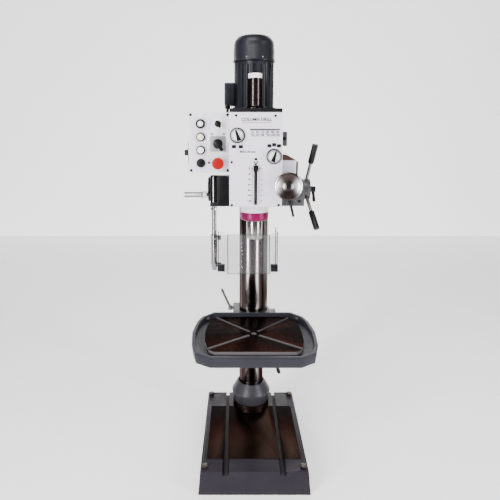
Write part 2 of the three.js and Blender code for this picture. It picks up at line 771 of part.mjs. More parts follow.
function coolingFan() {
  const hub = bar(FAN_HUB_R, 0, FAN_H, 0, 0);
  const blades = [];
  for (let i = 0; i < FAN_BLADES; i += 1) {
    blades.push(block(FAN_HUB_R / 2, FAN_R, -2, 2, 0, FAN_H - 2).rotateZ((i * 2 * Math.PI) / FAN_BLADES));
  }
  const disc = bar(FAN_R, 0, 3, 0, 0);
  const bore = bar(fit(SHAFT_R), -OVER, FAN_H + OVER, 0, 0);
  const made = mesh("cooling_fan", carved([hub, disc, ...blades], [bore]), 0x222326, finish.plastic);
  made.position.set(0, MOTOR_Y, MOTOR_TOP + FAN_LIFT);
  return made;
}

function terminalBox() {
  const right = -MOTOR_R - GAP + 2;
  const y0 = MOTOR_Y - TERMINAL_HALF;
  const y1 = MOTOR_Y + TERMINAL_HALF;
  const cuts = [
    bar(MOTOR_R + 1.5, 0, FAR, 0, MOTOR_Y),
    bar(CABLE_R + 1, 0, TERMINAL_BOTTOM + CABLE_DIP, CABLE_X, MOTOR_Y),
  ];
  const made = carved([block(TERMINAL_LEFT, right, y0, y1, TERMINAL_BOTTOM, TERMINAL_TOP)], cuts);
  return mesh("terminal_box", made, 0x3a3c41, finish.paint);
}

function motorCable() {
  const path = new THREE.CatmullRomCurve3([
    new THREE.Vector3(CABLE_X, MOTOR_Y, TERMINAL_BOTTOM + CABLE_DIP - 2),
    new THREE.Vector3(CABLE_X, MOTOR_Y, TERMINAL_BOTTOM - 16),
    new THREE.Vector3(CABLE_X - 10, MOTOR_Y - 30, BOX_TOP - 12),
    new THREE.Vector3(GLAND_X + 2, BOX_BACK + 34, GLAND_Z + 4),
    new THREE.Vector3(GLAND_X, BOX_BACK - 2, GLAND_Z),
  ]);
  const ring = new THREE.Shape().absarc(0, 0, CABLE_R, 0, 2 * Math.PI);
  const sweep = { steps: 18, curveSegments: 5, extrudePath: path, bevelEnabled: false };
  const made = new THREE.ExtrudeGeometry(ring, sweep);
  return mesh("motor_cable", made, 0x151517, { roughness: 0.6, metalness: 0 });
}

// ---- Control box ----
function controlBox() {
  const outer = block(BOX_LEFT, BOX_RIGHT, BOX_FRONT, BOX_BACK, BOX_BOTTOM, BOX_TOP);
  const inner = block(
    BOX_LEFT + BOX_WALL,
    BOX_RIGHT - BOX_WALL,
    BOX_FRONT - OVER,
    BOX_BACK - BOX_WALL,
    BOX_BOTTOM + BOX_WALL,
    BOX_TOP - BOX_WALL,
  );
  const gland = barY(CABLE_R + 1.5, BOX_BACK - 10, BOX_BACK + OVER, GLAND_X, GLAND_Z);
  const side = barX(fit(STEM_R), BOX_LEFT - OVER, BOX_LEFT + 10, ISOLATOR_Y, ISOLATOR_Z);
  return mesh("control_box", carved([outer], [inner, gland, side]), 0xe4e5e3, finish.paint);
}

function controlPanel() {
  const back = BOX_FRONT - GAP;
  const plate = block(BOX_LEFT, BOX_RIGHT, back - BOX_PANEL_T, back, BOX_BOTTOM, BOX_TOP);
  const places = [
    [BUTTON_X, LAMP_Z],
    ...BUTTON_Z.map((z) => [BUTTON_X, z]),
    [KNOB_X, MODE_Z],
    [KNOB_X, SPEED_Z],
    [KNOB_X, ESTOP_Z],
  ];
  const holes = places.map(([x, z]) => barY(fit(STEM_R), back - 10, back + 10, x, z));
  return mesh("control_panel", carved([plate], holes), 0xededeb, finish.paint);
}

// A control with its stem through the panel and its cap in front of it.
function control(name, x, z, cap, colour, surface) {
  const stem = barY(STEM_R, -2, BOX_PANEL_T + 14, 0, 0);
  const made = mesh(name, carved([stem, ...cap]), colour, surface);
  made.position.set(x, BOX_FRONT - GAP - BOX_PANEL_T, z);
  return made;
}

function controls() {
  const modeCap = [
    barY(MODE_KNOB_R, -16, -GAP, 0, 0),
    block(-4, 4, -26, -15, -MODE_KNOB_R - 5, MODE_KNOB_R).rotateY(-SPEED_TURN),
  ];
  const speedCap = [
    barY(SPEED_KNOB_R, -14, -GAP, 0, 0),
    block(-6, 6, -30, -13, -SPEED_KNOB_R - 12, SPEED_KNOB_R).rotateY(-SPEED_TURN),
  ];
  const lampCap = [barY(LAMP_R, -8, -GAP, 0, 0), barY(LAMP_R - 4, -14, -7, 0, 0)];
  const estopCap = [
    barY(ESTOP_R / 2, -14, -ESTOP_TRAVEL - 1, 0, 0),
    barY(STEM_R, -8, 0, 0, 0),
    barY(ESTOP_R, -28, -13, 0, 0),
  ];
  const names = ["start_button", "stop_button", "coolant_button"];
  const colours = [0xf2f2e2, 0xf4f4f0, 0x1c1c1e];
  const made = names.map((name, i) => {
    const cap = [barY(BUTTON_R + 3, -13, -6, 0, 0), barY(STEM_R, -7, 0, 0, 0)];
    return control(name, BUTTON_X, BUTTON_Z[i], cap, colours[i], finish.plastic);
  });
  made.push(control("indicator_lamp", BUTTON_X, LAMP_Z, lampCap, 0xe8e8ea, finish.plastic));
  made.push(control("mode_knob", KNOB_X, MODE_Z, modeCap, 0x1d1d1f, finish.plastic));
  made.push(control("speed_knob", KNOB_X, SPEED_Z, speedCap, 0x1d1d1f, finish.plastic));
  made.push(control("estop_button", KNOB_X, ESTOP_Z, estopCap, 0xc8352f, finish.plastic));
  const handle = carved([
    barX(STEM_R, -6, 16, 0, 0),
    barX(11, -9, -GAP, 0, 0),
    block(-19, -8, -4, 4, -11, 11),
  ]);
  const isolator = mesh("isolator_handle", handle, 0x1d1d1f, finish.plastic);
  isolator.position.set(BOX_LEFT, ISOLATOR_Y, ISOLATOR_Z);
  return [...made, isolator];
}

// ---- Quill, spindle and depth pointer ----
function quill() {
  const body = bar(QUILL_R, QUILL_BOTTOM + 4, QUILL_TOP, 0, 0);
  const tail = bar(QUILL_R - 6, QUILL_BOTTOM, QUILL_BOTTOM + 5, 0, 0);
  const bore = bar(QUILL_BORE_R, 0, FAR, 0, 0);
  const made = mesh("quill", carved([body, tail], [bore]), 0xb4b7ba, finish.steel);
  made.position.y = SPINDLE_Y;
  return made;
}

function quillRing() {
  const top = NOSE_BOTTOM - GAP * 3;
  const low = top - RING_H;
  const made = turned([
    [QUILL_R + GAP, low + 4],
    [NOSE_R - 8, low],
    [NOSE_R - 1, low + 4],
    [NOSE_R, low + 10],
    [NOSE_R, top],
    [QUILL_R + GAP, top],
    [QUILL_R + GAP, low + 4],
  ]);
  const ring = mesh("quill_ring", made, 0xb51f73, finish.paint);
  ring.position.y = SPINDLE_Y;
  return ring;
}

function depthPointer() {
  const z0 = DEPTH_SLOT_TOP - 20;
  const half = DEPTH_SLOT_W / 2 - 1;
  const stalk = block(-half, half, HEAD_FRONT - 14, SPINDLE_Y - QUILL_R - 0.5, z0, z0 + 12);
  const sign = block(-9, 9, HEAD_FRONT - 14, HEAD_FRONT - 6, z0 - 2, z0 + 18);
  const pad = bar(QUILL_R + GAP, 0, FAR, 0, SPINDLE_Y);
  return mesh("depth_pointer", carved([stalk, sign], [pad]), 0x202022, finish.paint);
}

function spindle() {
  const joined = [
    bar(SPINDLE_NOSE_R, SPINDLE_BOTTOM, QUILL_BOTTOM - GAP, 0, 0),
    bar(SPINDLE_R, QUILL_BOTTOM - 1, SPINDLE_TOP, 0, 0),
  ];
  const taper = bar(TAPER_R, SPINDLE_BOTTOM - OVER, SPINDLE_BOTTOM + TAPER_DEPTH, 0, 0, 28, TAPER_R - 2);
  const made = mesh("spindle", carved(joined, [taper]), 0xc4c7ca, finish.steel);
  made.position.y = SPINDLE_Y;
  return made;
}

// ---- Feed ----
function feedGearbox() {
  const x0 = HEAD_W / 2 + GAP;
  const body = block(x0, GEARBOX_RIGHT, GEARBOX_FRONT, GEARBOX_BACK, GEARBOX_BOTTOM, GEARBOX_TOP);
  const nose = barX(HUB_R + 4, GEARBOX_RIGHT - 4, GEARBOX_RIGHT + GEARBOX_NOSE, FEED_Y, FEED_Z);
  const boss = barY(20, GEARBOX_FRONT - WHEEL_BOSS, GEARBOX_FRONT + 1, WHEEL_X, WHEEL_Z);
  const cuts = [
    barX(fit(FEED_R), 0, 300, FEED_Y, FEED_Z),
    barY(fit(WHEEL_STEM_R), GEARBOX_FRONT - WHEEL_BOSS - OVER, GEARBOX_FRONT + WHEEL_BORE, WHEEL_X, WHEEL_Z),
    barY(fit(LOCK_R), GEARBOX_FRONT - 20, GEARBOX_FRONT + 30, CLUTCH_X, CLUTCH_Z),
  ];
  return mesh("feed_gearbox", carved([body, nose, boss], cuts), 0x77797e, finish.paint);
}

function feedShaft() {
  const made = barX(FEED_R, FEED_LEFT + 4, HUB_RIGHT - HUB_CAP, FEED_Y, FEED_Z);
  return mesh("feed_shaft", made, 0x9a9da1, finish.steel);
}

function feedHub() {
  const x0 = GEARBOX_RIGHT + GEARBOX_NOSE + GAP;
  const body = barX(HUB_R, x0, HUB_RIGHT, 0, 0);
  const cuts = [
    barX(fit(FEED_R), x0 - OVER, HUB_RIGHT - HUB_CAP + GAP, 0, 0),
    barX(fit(LOCK_R), HUB_RIGHT - HUB_CAP - OVER, HUB_RIGHT + OVER, 0, 0),
  ];
  for (let i = 0; i < ARMS; i += 1) {
    cuts.push(feedArmTool(i, fit(ARM_R), HUB_R - ARM_SINK - 1, HUB_R + 20));
  }
  const hub = mesh("feed_hub", carved([body], cuts), 0x77797e, finish.paint);
  hub.position.set(0, FEED_Y, FEED_Z);
  return hub;
}

// A bar on the line of feed arm i, from r0 to r1 along it.
function feedArmTool(i, r, r0, r1, sides = ROUND) {
  const splay = THREE.MathUtils.degToRad(ARM_SPLAY);
  const turn = THREE.MathUtils.degToRad(90 - ARM_START + (360 / ARMS) * i);
  return bar(r, r0, r1, 0, 0, sides).rotateY(splay).translate(ARM_ROOT_X, 0, 0).rotateX(turn);
}

function feedArms() {
  const made = [];
  const start = HUB_R - ARM_SINK;
  const end = start + ARM_LENGTH;
  for (let i = 0; i < ARMS; i += 1) {
    const bare = feedArmTool(i, ARM_R, start, end + ARM_SOCKET);
    const rod = mesh(`feed_arm_${i + 1}`, bare, 0xa6a9ad, finish.steel);
    const socket = feedArmTool(i, fit(ARM_R), end - OVER, end + ARM_SOCKET + GAP);
    const shape = carved([feedArmTool(i, GRIP_R, end, end + GRIP_LENGTH)], [socket]);
    const grip = mesh(`feed_grip_${i + 1}`, shape, 0x1a1a1c, finish.plastic);
    made.push(rod, grip);
  }
  made.forEach((piece) => piece.position.set(0, FEED_Y, FEED_Z));
  return made;
}

function springHousing() {
  const right = FEED_LEFT + SPRING_W;
  const cup = barX(SPRING_R, FEED_LEFT, right, FEED_Y, FEED_Z);
  const neck = barX(SPRING_NECK_R, right - 1, -HEAD_W / 2 - GAP, FEED_Y, FEED_Z);
  const cuts = [
    barX(fit(FEED_R), FEED_LEFT + 4 - GAP, 0, FEED_Y, FEED_Z),
    barX(SPRING_R - 8, FEED_LEFT + 5, right - 4, FEED_Y, FEED_Z),
  ];
  return mesh("spring_housing", carved([cup, neck], cuts), 0x1c1c1e, finish.plastic);
}

function fineFeedWheel() {
  const face = GEARBOX_FRONT - WHEEL_BOSS - GAP;
  const dish = turned([
    [0, 0],
    [18, 0],
    [20, 10],
    [WHEEL_R - 8, 16],
    [WHEEL_R, 12],
    [WHEEL_R, 24],
    [WHEEL_R - 6, 27],
    [WHEEL_R - 12, 24],
    [20, 17],
    [16, 26],
    [0, 26],
  ]).rotateX(Math.PI / 2);
  const stem = barY(WHEEL_STEM_R, -1, WHEEL_BOSS + WHEEL_BORE - 10, 0, 0);
  const made = mesh("fine_feed_wheel", carved([dish, stem]), 0xc6c8ca, { roughness: 0.2, metalness: 0.95 });
  made.position.set(WHEEL_X, face, WHEEL_Z);
  return made;
}

function feedLevers() {
  const screw = HUB_RIGHT - HUB_CAP + 1;
  const lean = Math.PI - 0.12;
  const clamp = lever("hub_clamp_lever", screw, HUB_RIGHT + 6, HUB_RIGHT + 14, 52, lean, 0x1a1a1c, 7);
  clamp.position.set(0, FEED_Y, FEED_Z);
  const shaft = barY(LOCK_R, -12, 22, 0, 0);
  const rod = bar(5.5, 0, 64, 0, 0, 16, 4.5).rotateY(Math.PI - 0.25).translate(0, -6, 0);
  const clutch = mesh("feed_clutch_lever", carved([shaft, rod]), 0x1a1a1c, finish.steel);
  clutch.position.set(CLUTCH_X, GEARBOX_FRONT - GAP, CLUTCH_Z);
  const collar = QUILL_LOCK_LEFT + 68;
  const bars = [
    barX(LOCK_R, collar, QUILL_LOCK_END, 0, 0),
    barX(QUILL_LOCK_R, QUILL_LOCK_LEFT, collar + 1, 0, 0),
    barX(QUILL_LOCK_R + 3, collar, collar + 22, 0, 0),
  ];
  const lock = mesh("quill_lock_lever", carved(bars), 0xc4c6c8, finish.steel);
  lock.position.set(0, QUILL_LOCK_Y, QUILL_LOCK_Z);
  return [clamp, clutch, lock];
}

function depthSwitchBox() {
  const x0 = HEAD_W / 2 + GAP;
  const outline = [
    [x0, SWITCH_BOTTOM],
    [SWITCH_RIGHT, SWITCH_BOTTOM],
    [SWITCH_RIGHT, SWITCH_TOP - 20],
    [SWITCH_RIGHT - 40, SWITCH_TOP],
    [x0, SWITCH_TOP],
  ];
  const body = prism(outline, -SWITCH_BACK, -SWITCH_FRONT).rotateX(Math.PI / 2);
  return mesh("depth_switch_box", body, 0xe6e6e4, finish.paint);
}

// ---- Guard ----
function guardBracket() {
  const right = -HEAD_W / 2 - GAP;
  const left = BRACKET_LEFT - OVER;
  const front = BRACKET_FRONT - OVER;
  const body = block(BRACKET_LEFT, right, BRACKET_FRONT, BRACKET_BACK, BRACKET_BOTTOM, BRACKET_TOP);
  const cuts = [
    bar(fit(ROD_R), BRACKET_BOTTOM - OVER, ROD_TOP, ROD_X, ROD_Y),
    block(left, ROD_X + 13, front, ROD_Y, BRACKET_BOTTOM + 12, BRACKET_TOP + OVER),
  ];
  return mesh("guard_bracket", carved([body], cuts), 0x17171a, finish.paint);
}

function guardRod() {
  return mesh("guard_rod", bar(ROD_R, ROD_BOTTOM, ROD_TOP - GAP, ROD_X, ROD_Y), 0xc2c5c8, finish.steel);
}

function guardClamp() {
  const z0 = SHIELD_BOTTOM + 8;
  const sleeve = bar(ROD_R + CLAMP_WALL, z0, z0 + CLAMP_LENGTH, ROD_X, ROD_Y);
  const arms = [z0 + 2, z0 + CLAMP_LENGTH - 20].map((z) =>
    block(ROD_X + ROD_R + 1, ROD_X + 27, ROD_Y - 12.5, ROD_Y - 6, z, z + 18),
  );
  const bore = bar(fit(ROD_R), 0, FAR, ROD_X, ROD_Y);
  return mesh("guard_clamp", carved([sleeve, ...arms], [bore]), 0xc2c5c8, finish.steel);
}

function guardShield() {
  const outer = [
    [ROD_X + 17, SHIELD_SIDE + SHIELD_T],
    [ROD_X + 17, SHIELD_SIDE],
    [SHIELD_BEND_LEFT, SHIELD_FRONT],
    [SHIELD_BEND_RIGHT, SHIELD_FRONT],
    [SHIELD_RIGHT, SHIELD_SIDE],
    [SHIELD_RIGHT, SHIELD_BACK],
  ];
  const t = SHIELD_T;
  const inner = [
    [SHIELD_RIGHT - t, SHIELD_BACK],
    [SHIELD_RIGHT - t, SHIELD_SIDE + 1],
    [SHIELD_BEND_RIGHT - t / 2, SHIELD_FRONT + t],
    [SHIELD_BEND_LEFT + t / 2, SHIELD_FRONT + t],
    [ROD_X + 19, SHIELD_SIDE + t],
  ];
  const made = prism([...outer, ...inner], SHIELD_BOTTOM, SHIELD_BOTTOM + SHIELD_H);
  const clear = { roughness: 0.08, metalness: 0, transparent: true, opacity: 0.35 };
  return mesh("guard_shield", made, 0xd9dde0, clear);
}

// ---- Assembly ----
const group = new THREE.Group();
group.name = "drill_press";
group.add(base(), ...levelBolts(), columnCollar(), column(), columnRack());
group.add(tableArm(), table(), ...tableCrank(), ...tableLocks());
group.add(headCasting(), frontPanel(), ...gearDials(), motorPlate(), spindleCover(), spindleGear());
group.add(motorRotor(), motorHousing(), fanCover(), coolingFan(), terminalBox(), motorCable());
group.add(controlBox(), controlPanel(), ...controls());
group.add(quill(), quillRing(), depthPointer(), spindle());
group.add(feedGearbox(), feedShaft(), feedHub(), ...feedArms(), springHousing(), fineFeedWheel());
group.add(...feedLevers(), depthSwitchBox(), guardBracket(), guardRod(), guardClamp(), guardShield());

export default group;
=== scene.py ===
"""Column drill press: finishes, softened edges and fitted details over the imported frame."""

import json
import logging
import math
from collections.abc import Callable
from dataclasses import dataclass
from enum import Enum

import bpy
from mathutils import Matrix, Vector


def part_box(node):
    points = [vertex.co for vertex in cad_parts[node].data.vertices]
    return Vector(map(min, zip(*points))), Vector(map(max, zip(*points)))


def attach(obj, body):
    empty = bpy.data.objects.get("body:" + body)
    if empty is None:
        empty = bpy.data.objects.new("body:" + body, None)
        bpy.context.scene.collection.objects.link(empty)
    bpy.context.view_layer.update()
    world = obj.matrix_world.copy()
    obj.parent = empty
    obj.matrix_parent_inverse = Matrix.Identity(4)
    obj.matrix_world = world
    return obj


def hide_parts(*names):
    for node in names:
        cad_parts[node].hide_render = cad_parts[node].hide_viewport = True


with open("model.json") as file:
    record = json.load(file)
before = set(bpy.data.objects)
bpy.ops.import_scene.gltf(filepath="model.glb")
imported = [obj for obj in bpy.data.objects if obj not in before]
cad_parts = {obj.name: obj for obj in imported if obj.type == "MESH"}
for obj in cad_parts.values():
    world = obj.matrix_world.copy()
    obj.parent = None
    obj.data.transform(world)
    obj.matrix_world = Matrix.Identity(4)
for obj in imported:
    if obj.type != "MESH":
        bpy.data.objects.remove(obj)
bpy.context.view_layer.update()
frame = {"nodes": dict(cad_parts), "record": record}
LOG = logging.getLogger("drill_press")
FRAME_BODY = "frame"
Colour = tuple[float, float, float]
Point = tuple[float, float, float]
Span = tuple[float, float]

INK_OUT = 0.0004  # how far a printed bar stands off its panel
INK_IN = 0.0003  # how far it reaches into the panel, and how far figures stand off
FACE_BELOW = 0.0004  # how far under its height a machined face begins
WALL_DEPTH = 0.012  # how deep the painted shade and sheen go down the walls under a machined face
GROUND_DARK: Colour = (0.007, 0.0035, 0.003)  # darkest and palest of ground steel
GROUND_PALE: Colour = (0.03, 0.02, 0.0165)
PAINTED_STREAK_SHADE: Colour = (0.045, 0.032, 0.03)  # painted shade between the painted reflection bands round a turned piece


class Axis(Enum):
    """Direction that a round piece points along, as its turn from +Z."""

    X = (0.0, math.pi / 2, 0.0)
    Y = (math.pi / 2, 0.0, 0.0)
    Z = (0.0, 0.0, 0.0)


class Value:
    """A shader socket that takes part in arithmetic."""

    def __init__(self, shader: "Shader", socket: bpy.types.NodeSocket) -> None:
        """Keeps the socket and the shader that it belongs to."""
        self.shader = shader
        self.socket = socket

    def _math(self, operation: str, a: object, b: object) -> "Value":
        """Returns the result of one math node."""
        return self.shader.node("ShaderNodeMath", {"operation": operation}, {0: a, 1: b})

    def __add__(self, other: object) -> "Value":
        """Returns self + other."""
        return self._math("ADD", self, other)

    def __radd__(self, other: object) -> "Value":
        """Returns other + self."""
        return self._math("ADD", other, self)

    def __sub__(self, other: object) -> "Value":
        """Returns self - other."""
        return self._math("SUBTRACT", self, other)

    def __rsub__(self, other: object) -> "Value":
        """Returns other - self."""
        return self._math("SUBTRACT", other, self)

    def __mul__(self, other: object) -> "Value":
        """Returns self * other."""
        return self._math("MULTIPLY", self, other)

    def __rmul__(self, other: object) -> "Value":
        """Returns other * self."""
        return self._math("MULTIPLY", other, self)

    def above(self, limit: float) -> "Value":
        """Returns 1 where the value is over the limit, else 0."""
        return self._math("GREATER_THAN", self, limit)


class Shader:
    """A node material under construction."""

    def __init__(self, name: str) -> None:
        """Makes an empty material with its surface shader."""
        self.material = bpy.data.materials.new(name)
        self.material.use_nodes = True
        self.tree = self.material.node_tree
        self.surface = self.tree.nodes["Principled BSDF"]

    def node(self, kind: str, settings: dict, sockets: dict, out: int | str = 0) -> Value:
        """Adds a node.

        Args:
            kind: The node's type.
            settings: Its properties.
            sockets: Its inputs, each a number, a colour or a Value.
            out: Which output to hand back.

        Returns:
            The chosen output.
        """
        made = self.tree.nodes.new(kind)
        for key, value in settings.items():
            setattr(made, key, value)
        for key, value in sockets.items():
            self.feed(made.inputs[key], value)
        return Value(self, made.outputs[out])

    def feed(self, socket: bpy.types.NodeSocket, value: object) -> None:
        """Links a Value to a socket, or sets the socket to a constant."""
        if isinstance(value, Value):
            self.tree.links.new(value.socket, socket)
        else:
            socket.default_value = value

    def mix(self, share: Value, a: object, b: object) -> Value:
        """Returns colours a and b mixed by the share."""
        return self.node("ShaderNodeMix", {"data_type": "RGBA"}, {0: share, 6: a, 7: b}, 2)


@dataclass(frozen=True)
class Streaks:
    """Painted reflections that run round a turned piece: pale bands in its colour that stand in for the
    lights' reflections, with painted shade between them.

    Args:
        plane: The two axes across the piece, such as XY.
        centre: Where its axis crosses them.
        count: How many bright bands there are.
        turn: The angle that they start from.
    """

    plane: str
    centre: Span
    count: float
    turn: float

    def share(self, sh: Shader, place: Value) -> Value:
        """Measures the painted reflections, which fade to painted shade toward the left and right sides of
        an upright round bar.

        Args:
            sh: The shader being made.
            place: Object coordinates.

        Returns:
            A share from 0, painted shade, to 1, painted reflection.
        """
        split = [sh.node("ShaderNodeSeparateXYZ", {}, {"Vector": place}, axis) for axis in self.plane]
        across = {0: split[0] - self.centre[0], 1: split[1] - self.centre[1]}
        angle = sh.node("ShaderNodeMath", {"operation": "ARCTAN2"}, across)
        wave = sh.node("ShaderNodeMath", {"operation": "COSINE"}, {0: angle * self.count + self.turn})
        share = wave * 0.5 + 0.5
        # painted shade: on an upright round bar the bands fade toward its left and right sides
        side = sh.node("ShaderNodeMath", {"operation": "COSINE"}, {0: angle})
        reach = side * side if self.plane == "XY" else 1.0
        return share * share * share * (reach * 0.8 + 0.2)


@dataclass(frozen=True)
class GroundFace:
    """A machined face on a painted casting.

    Args:
        z: Its height.
        rise: How far above that height the machined finish goes on.
        wall: Colour painted on the walls just under it: painted shade in the base's slots; on the table a
            pale grey that is partly the steel of its slot walls and pad edge, partly painted sheen.
        wall_x: Least and greatest distance of those walls from the middle.
        wall_y: Where those walls start and end from front to back.
    """

    z: float
    rise: float
    wall: Colour
    wall_x: Span
    wall_y: Span

    def walls(self, sh: Shader, place: Value, height: Value) -> Value:
        """Measures the walls under the face, which get painted shade and sheen.

        Args:
            sh: The shader being made.
            place: Object coordinates.
            height: Their height alone.

        Returns:
            1 on the walls, else 0.
        """
        under = height.above(self.z - WALL_DEPTH) * (1.0 - height.above(self.z - FACE_BELOW))
        side = sh.node("ShaderNodeSeparateXYZ", {}, {"Vector": place}, "X")
        out = sh.node("ShaderNodeMath", {"operation": "ABSOLUTE"}, {0: side})
        deep = sh.node("ShaderNodeSeparateXYZ", {}, {"Vector": place}, "Y")
        across = out.above(self.wall_x[0]) * (1.0 - out.above(self.wall_x[1]))
        along = deep.above(self.wall_y[0]) * (1.0 - deep.above(self.wall_y[1]))
        return under * across * along

    def over(self, sh: Shader, place: Value, paint: Value, rough: Value) -> tuple[Value, Value, Value]:
        """Lays the machined face over the paint, with painted shade and sheen on the walls under it.

        Args:
            sh: The shader being made.
            place: Object coordinates.
            paint: The paint's colour.
            rough: The paint's roughness.

        Returns:
            The colour, roughness and metalness.
        """
        height = sh.node("ShaderNodeSeparateXYZ", {}, {"Vector": place}, "Z")
        face = height.above(self.z - FACE_BELOW) * (1.0 - height.above(self.z + self.rise))
        lines = sh.node("ShaderNodeMapping", {}, {"Vector": place, "Scale": (1.0, 0.05, 1.0)})
        ground = sh.node("ShaderNodeTexNoise", {}, {"Vector": lines, "Scale": 420.0, "Detail": 3.0})
        steel = sh.mix(ground, (*GROUND_DARK, 1.0), (*GROUND_PALE, 1.0))
        # painted shade on the base's slot walls; partly painted sheen on the table's slot walls and pad
        # edge
        paint = sh.mix(self.walls(sh, place, height), paint, (*self.wall, 1.0))
        colour = sh.mix(face, paint, steel)
        return colour, rough * (1.0 - face) + face * (0.16 + ground * 0.16), face * 0.92


@dataclass(frozen=True)
class Finish:
    """One surface finish.

    Args:
        name: The material's name.
        colour: Its main colour.
        tint: The colour it drifts to in patches.
        rough: Its mean roughness.
        metal: How metallic it is.
        grain: How many grains there are to a metre.
        bump: How deep the grain is.
        stretch: How the grain is drawn out along each axis.
        coat: Weight of the clear coat.
        gloss: Strength of the mirror-like share of the light.
        edge: Tint of the light that glances off.
        alpha: How opaque it is.
        face: The machined face on it, or None.
        streaks: Painted reflection bands round it, with painted shade between them, or None.
    """

    name: str
    colour: Colour
    tint: Colour
    rough: float = 0.45
    metal: float = 0.0
    grain: float = 900.0
    bump: float = 0.08
    stretch: Point = (1.0, 1.0, 1.0)
    coat: float = 0.0
    gloss: float = 0.5
    edge: Colour = (1.0, 1.0, 1.0)
    alpha: float = 1.0
    face: GroundFace | None = None
    streaks: Streaks | None = None

    def build(self) -> bpy.types.Material:
        """Returns the material, with grain, patches, scuffs, any machined face with painted shade and sheen
        on its walls, and any painted reflection bands.
        """
        sh = Shader(self.name)
        place = sh.node("ShaderNodeTexCoord", {}, {}, "Object")
        drawn = sh.node("ShaderNodeMapping", {}, {"Vector": place, "Scale": self.stretch})
        grain = sh.node("ShaderNodeTexNoise", {}, {"Vector": drawn, "Scale": self.grain, "Detail": 4.0})
        patch = sh.node("ShaderNodeTexNoise", {}, {"Vector": place, "Scale": 9.0, "Detail": 5.0})
        scuff = sh.node("ShaderNodeTexNoise", {}, {"Vector": drawn, "Scale": 46.0, "Detail": 8.0})
        colour = sh.mix(patch * 1.6 - 0.3, (*self.colour, 1.0), (*self.tint, 1.0))
        # painted reflection bands, with painted shade between them, mixed into the colour
        if self.streaks is not None:
            colour = sh.mix(self.streaks.share(sh, place), (*PAINTED_STREAK_SHADE, 1.0), colour)
        rough = self.rough + (grain - 0.5) * 0.14 + (scuff - 0.5) * 0.22
        metal: object = self.metal
        if self.face is not None:
            colour, rough, metal = self.face.over(sh, place, colour, rough)
        bump = {"Strength": self.bump, "Distance": 0.001, "Height": grain}
        for socket, value in {
            "Base Color": colour,
            "Roughness": rough,
            "Metallic": metal,
            "Coat Weight": self.coat,
            "Alpha": self.alpha,
            "Specular IOR Level": self.gloss,
            "Specular Tint": (*self.edge, 1.0),
            "Normal": sh.node("ShaderNodeBump", {}, bump),
        }.items():
            sh.feed(sh.surface.inputs[socket], value)
        return sh.material


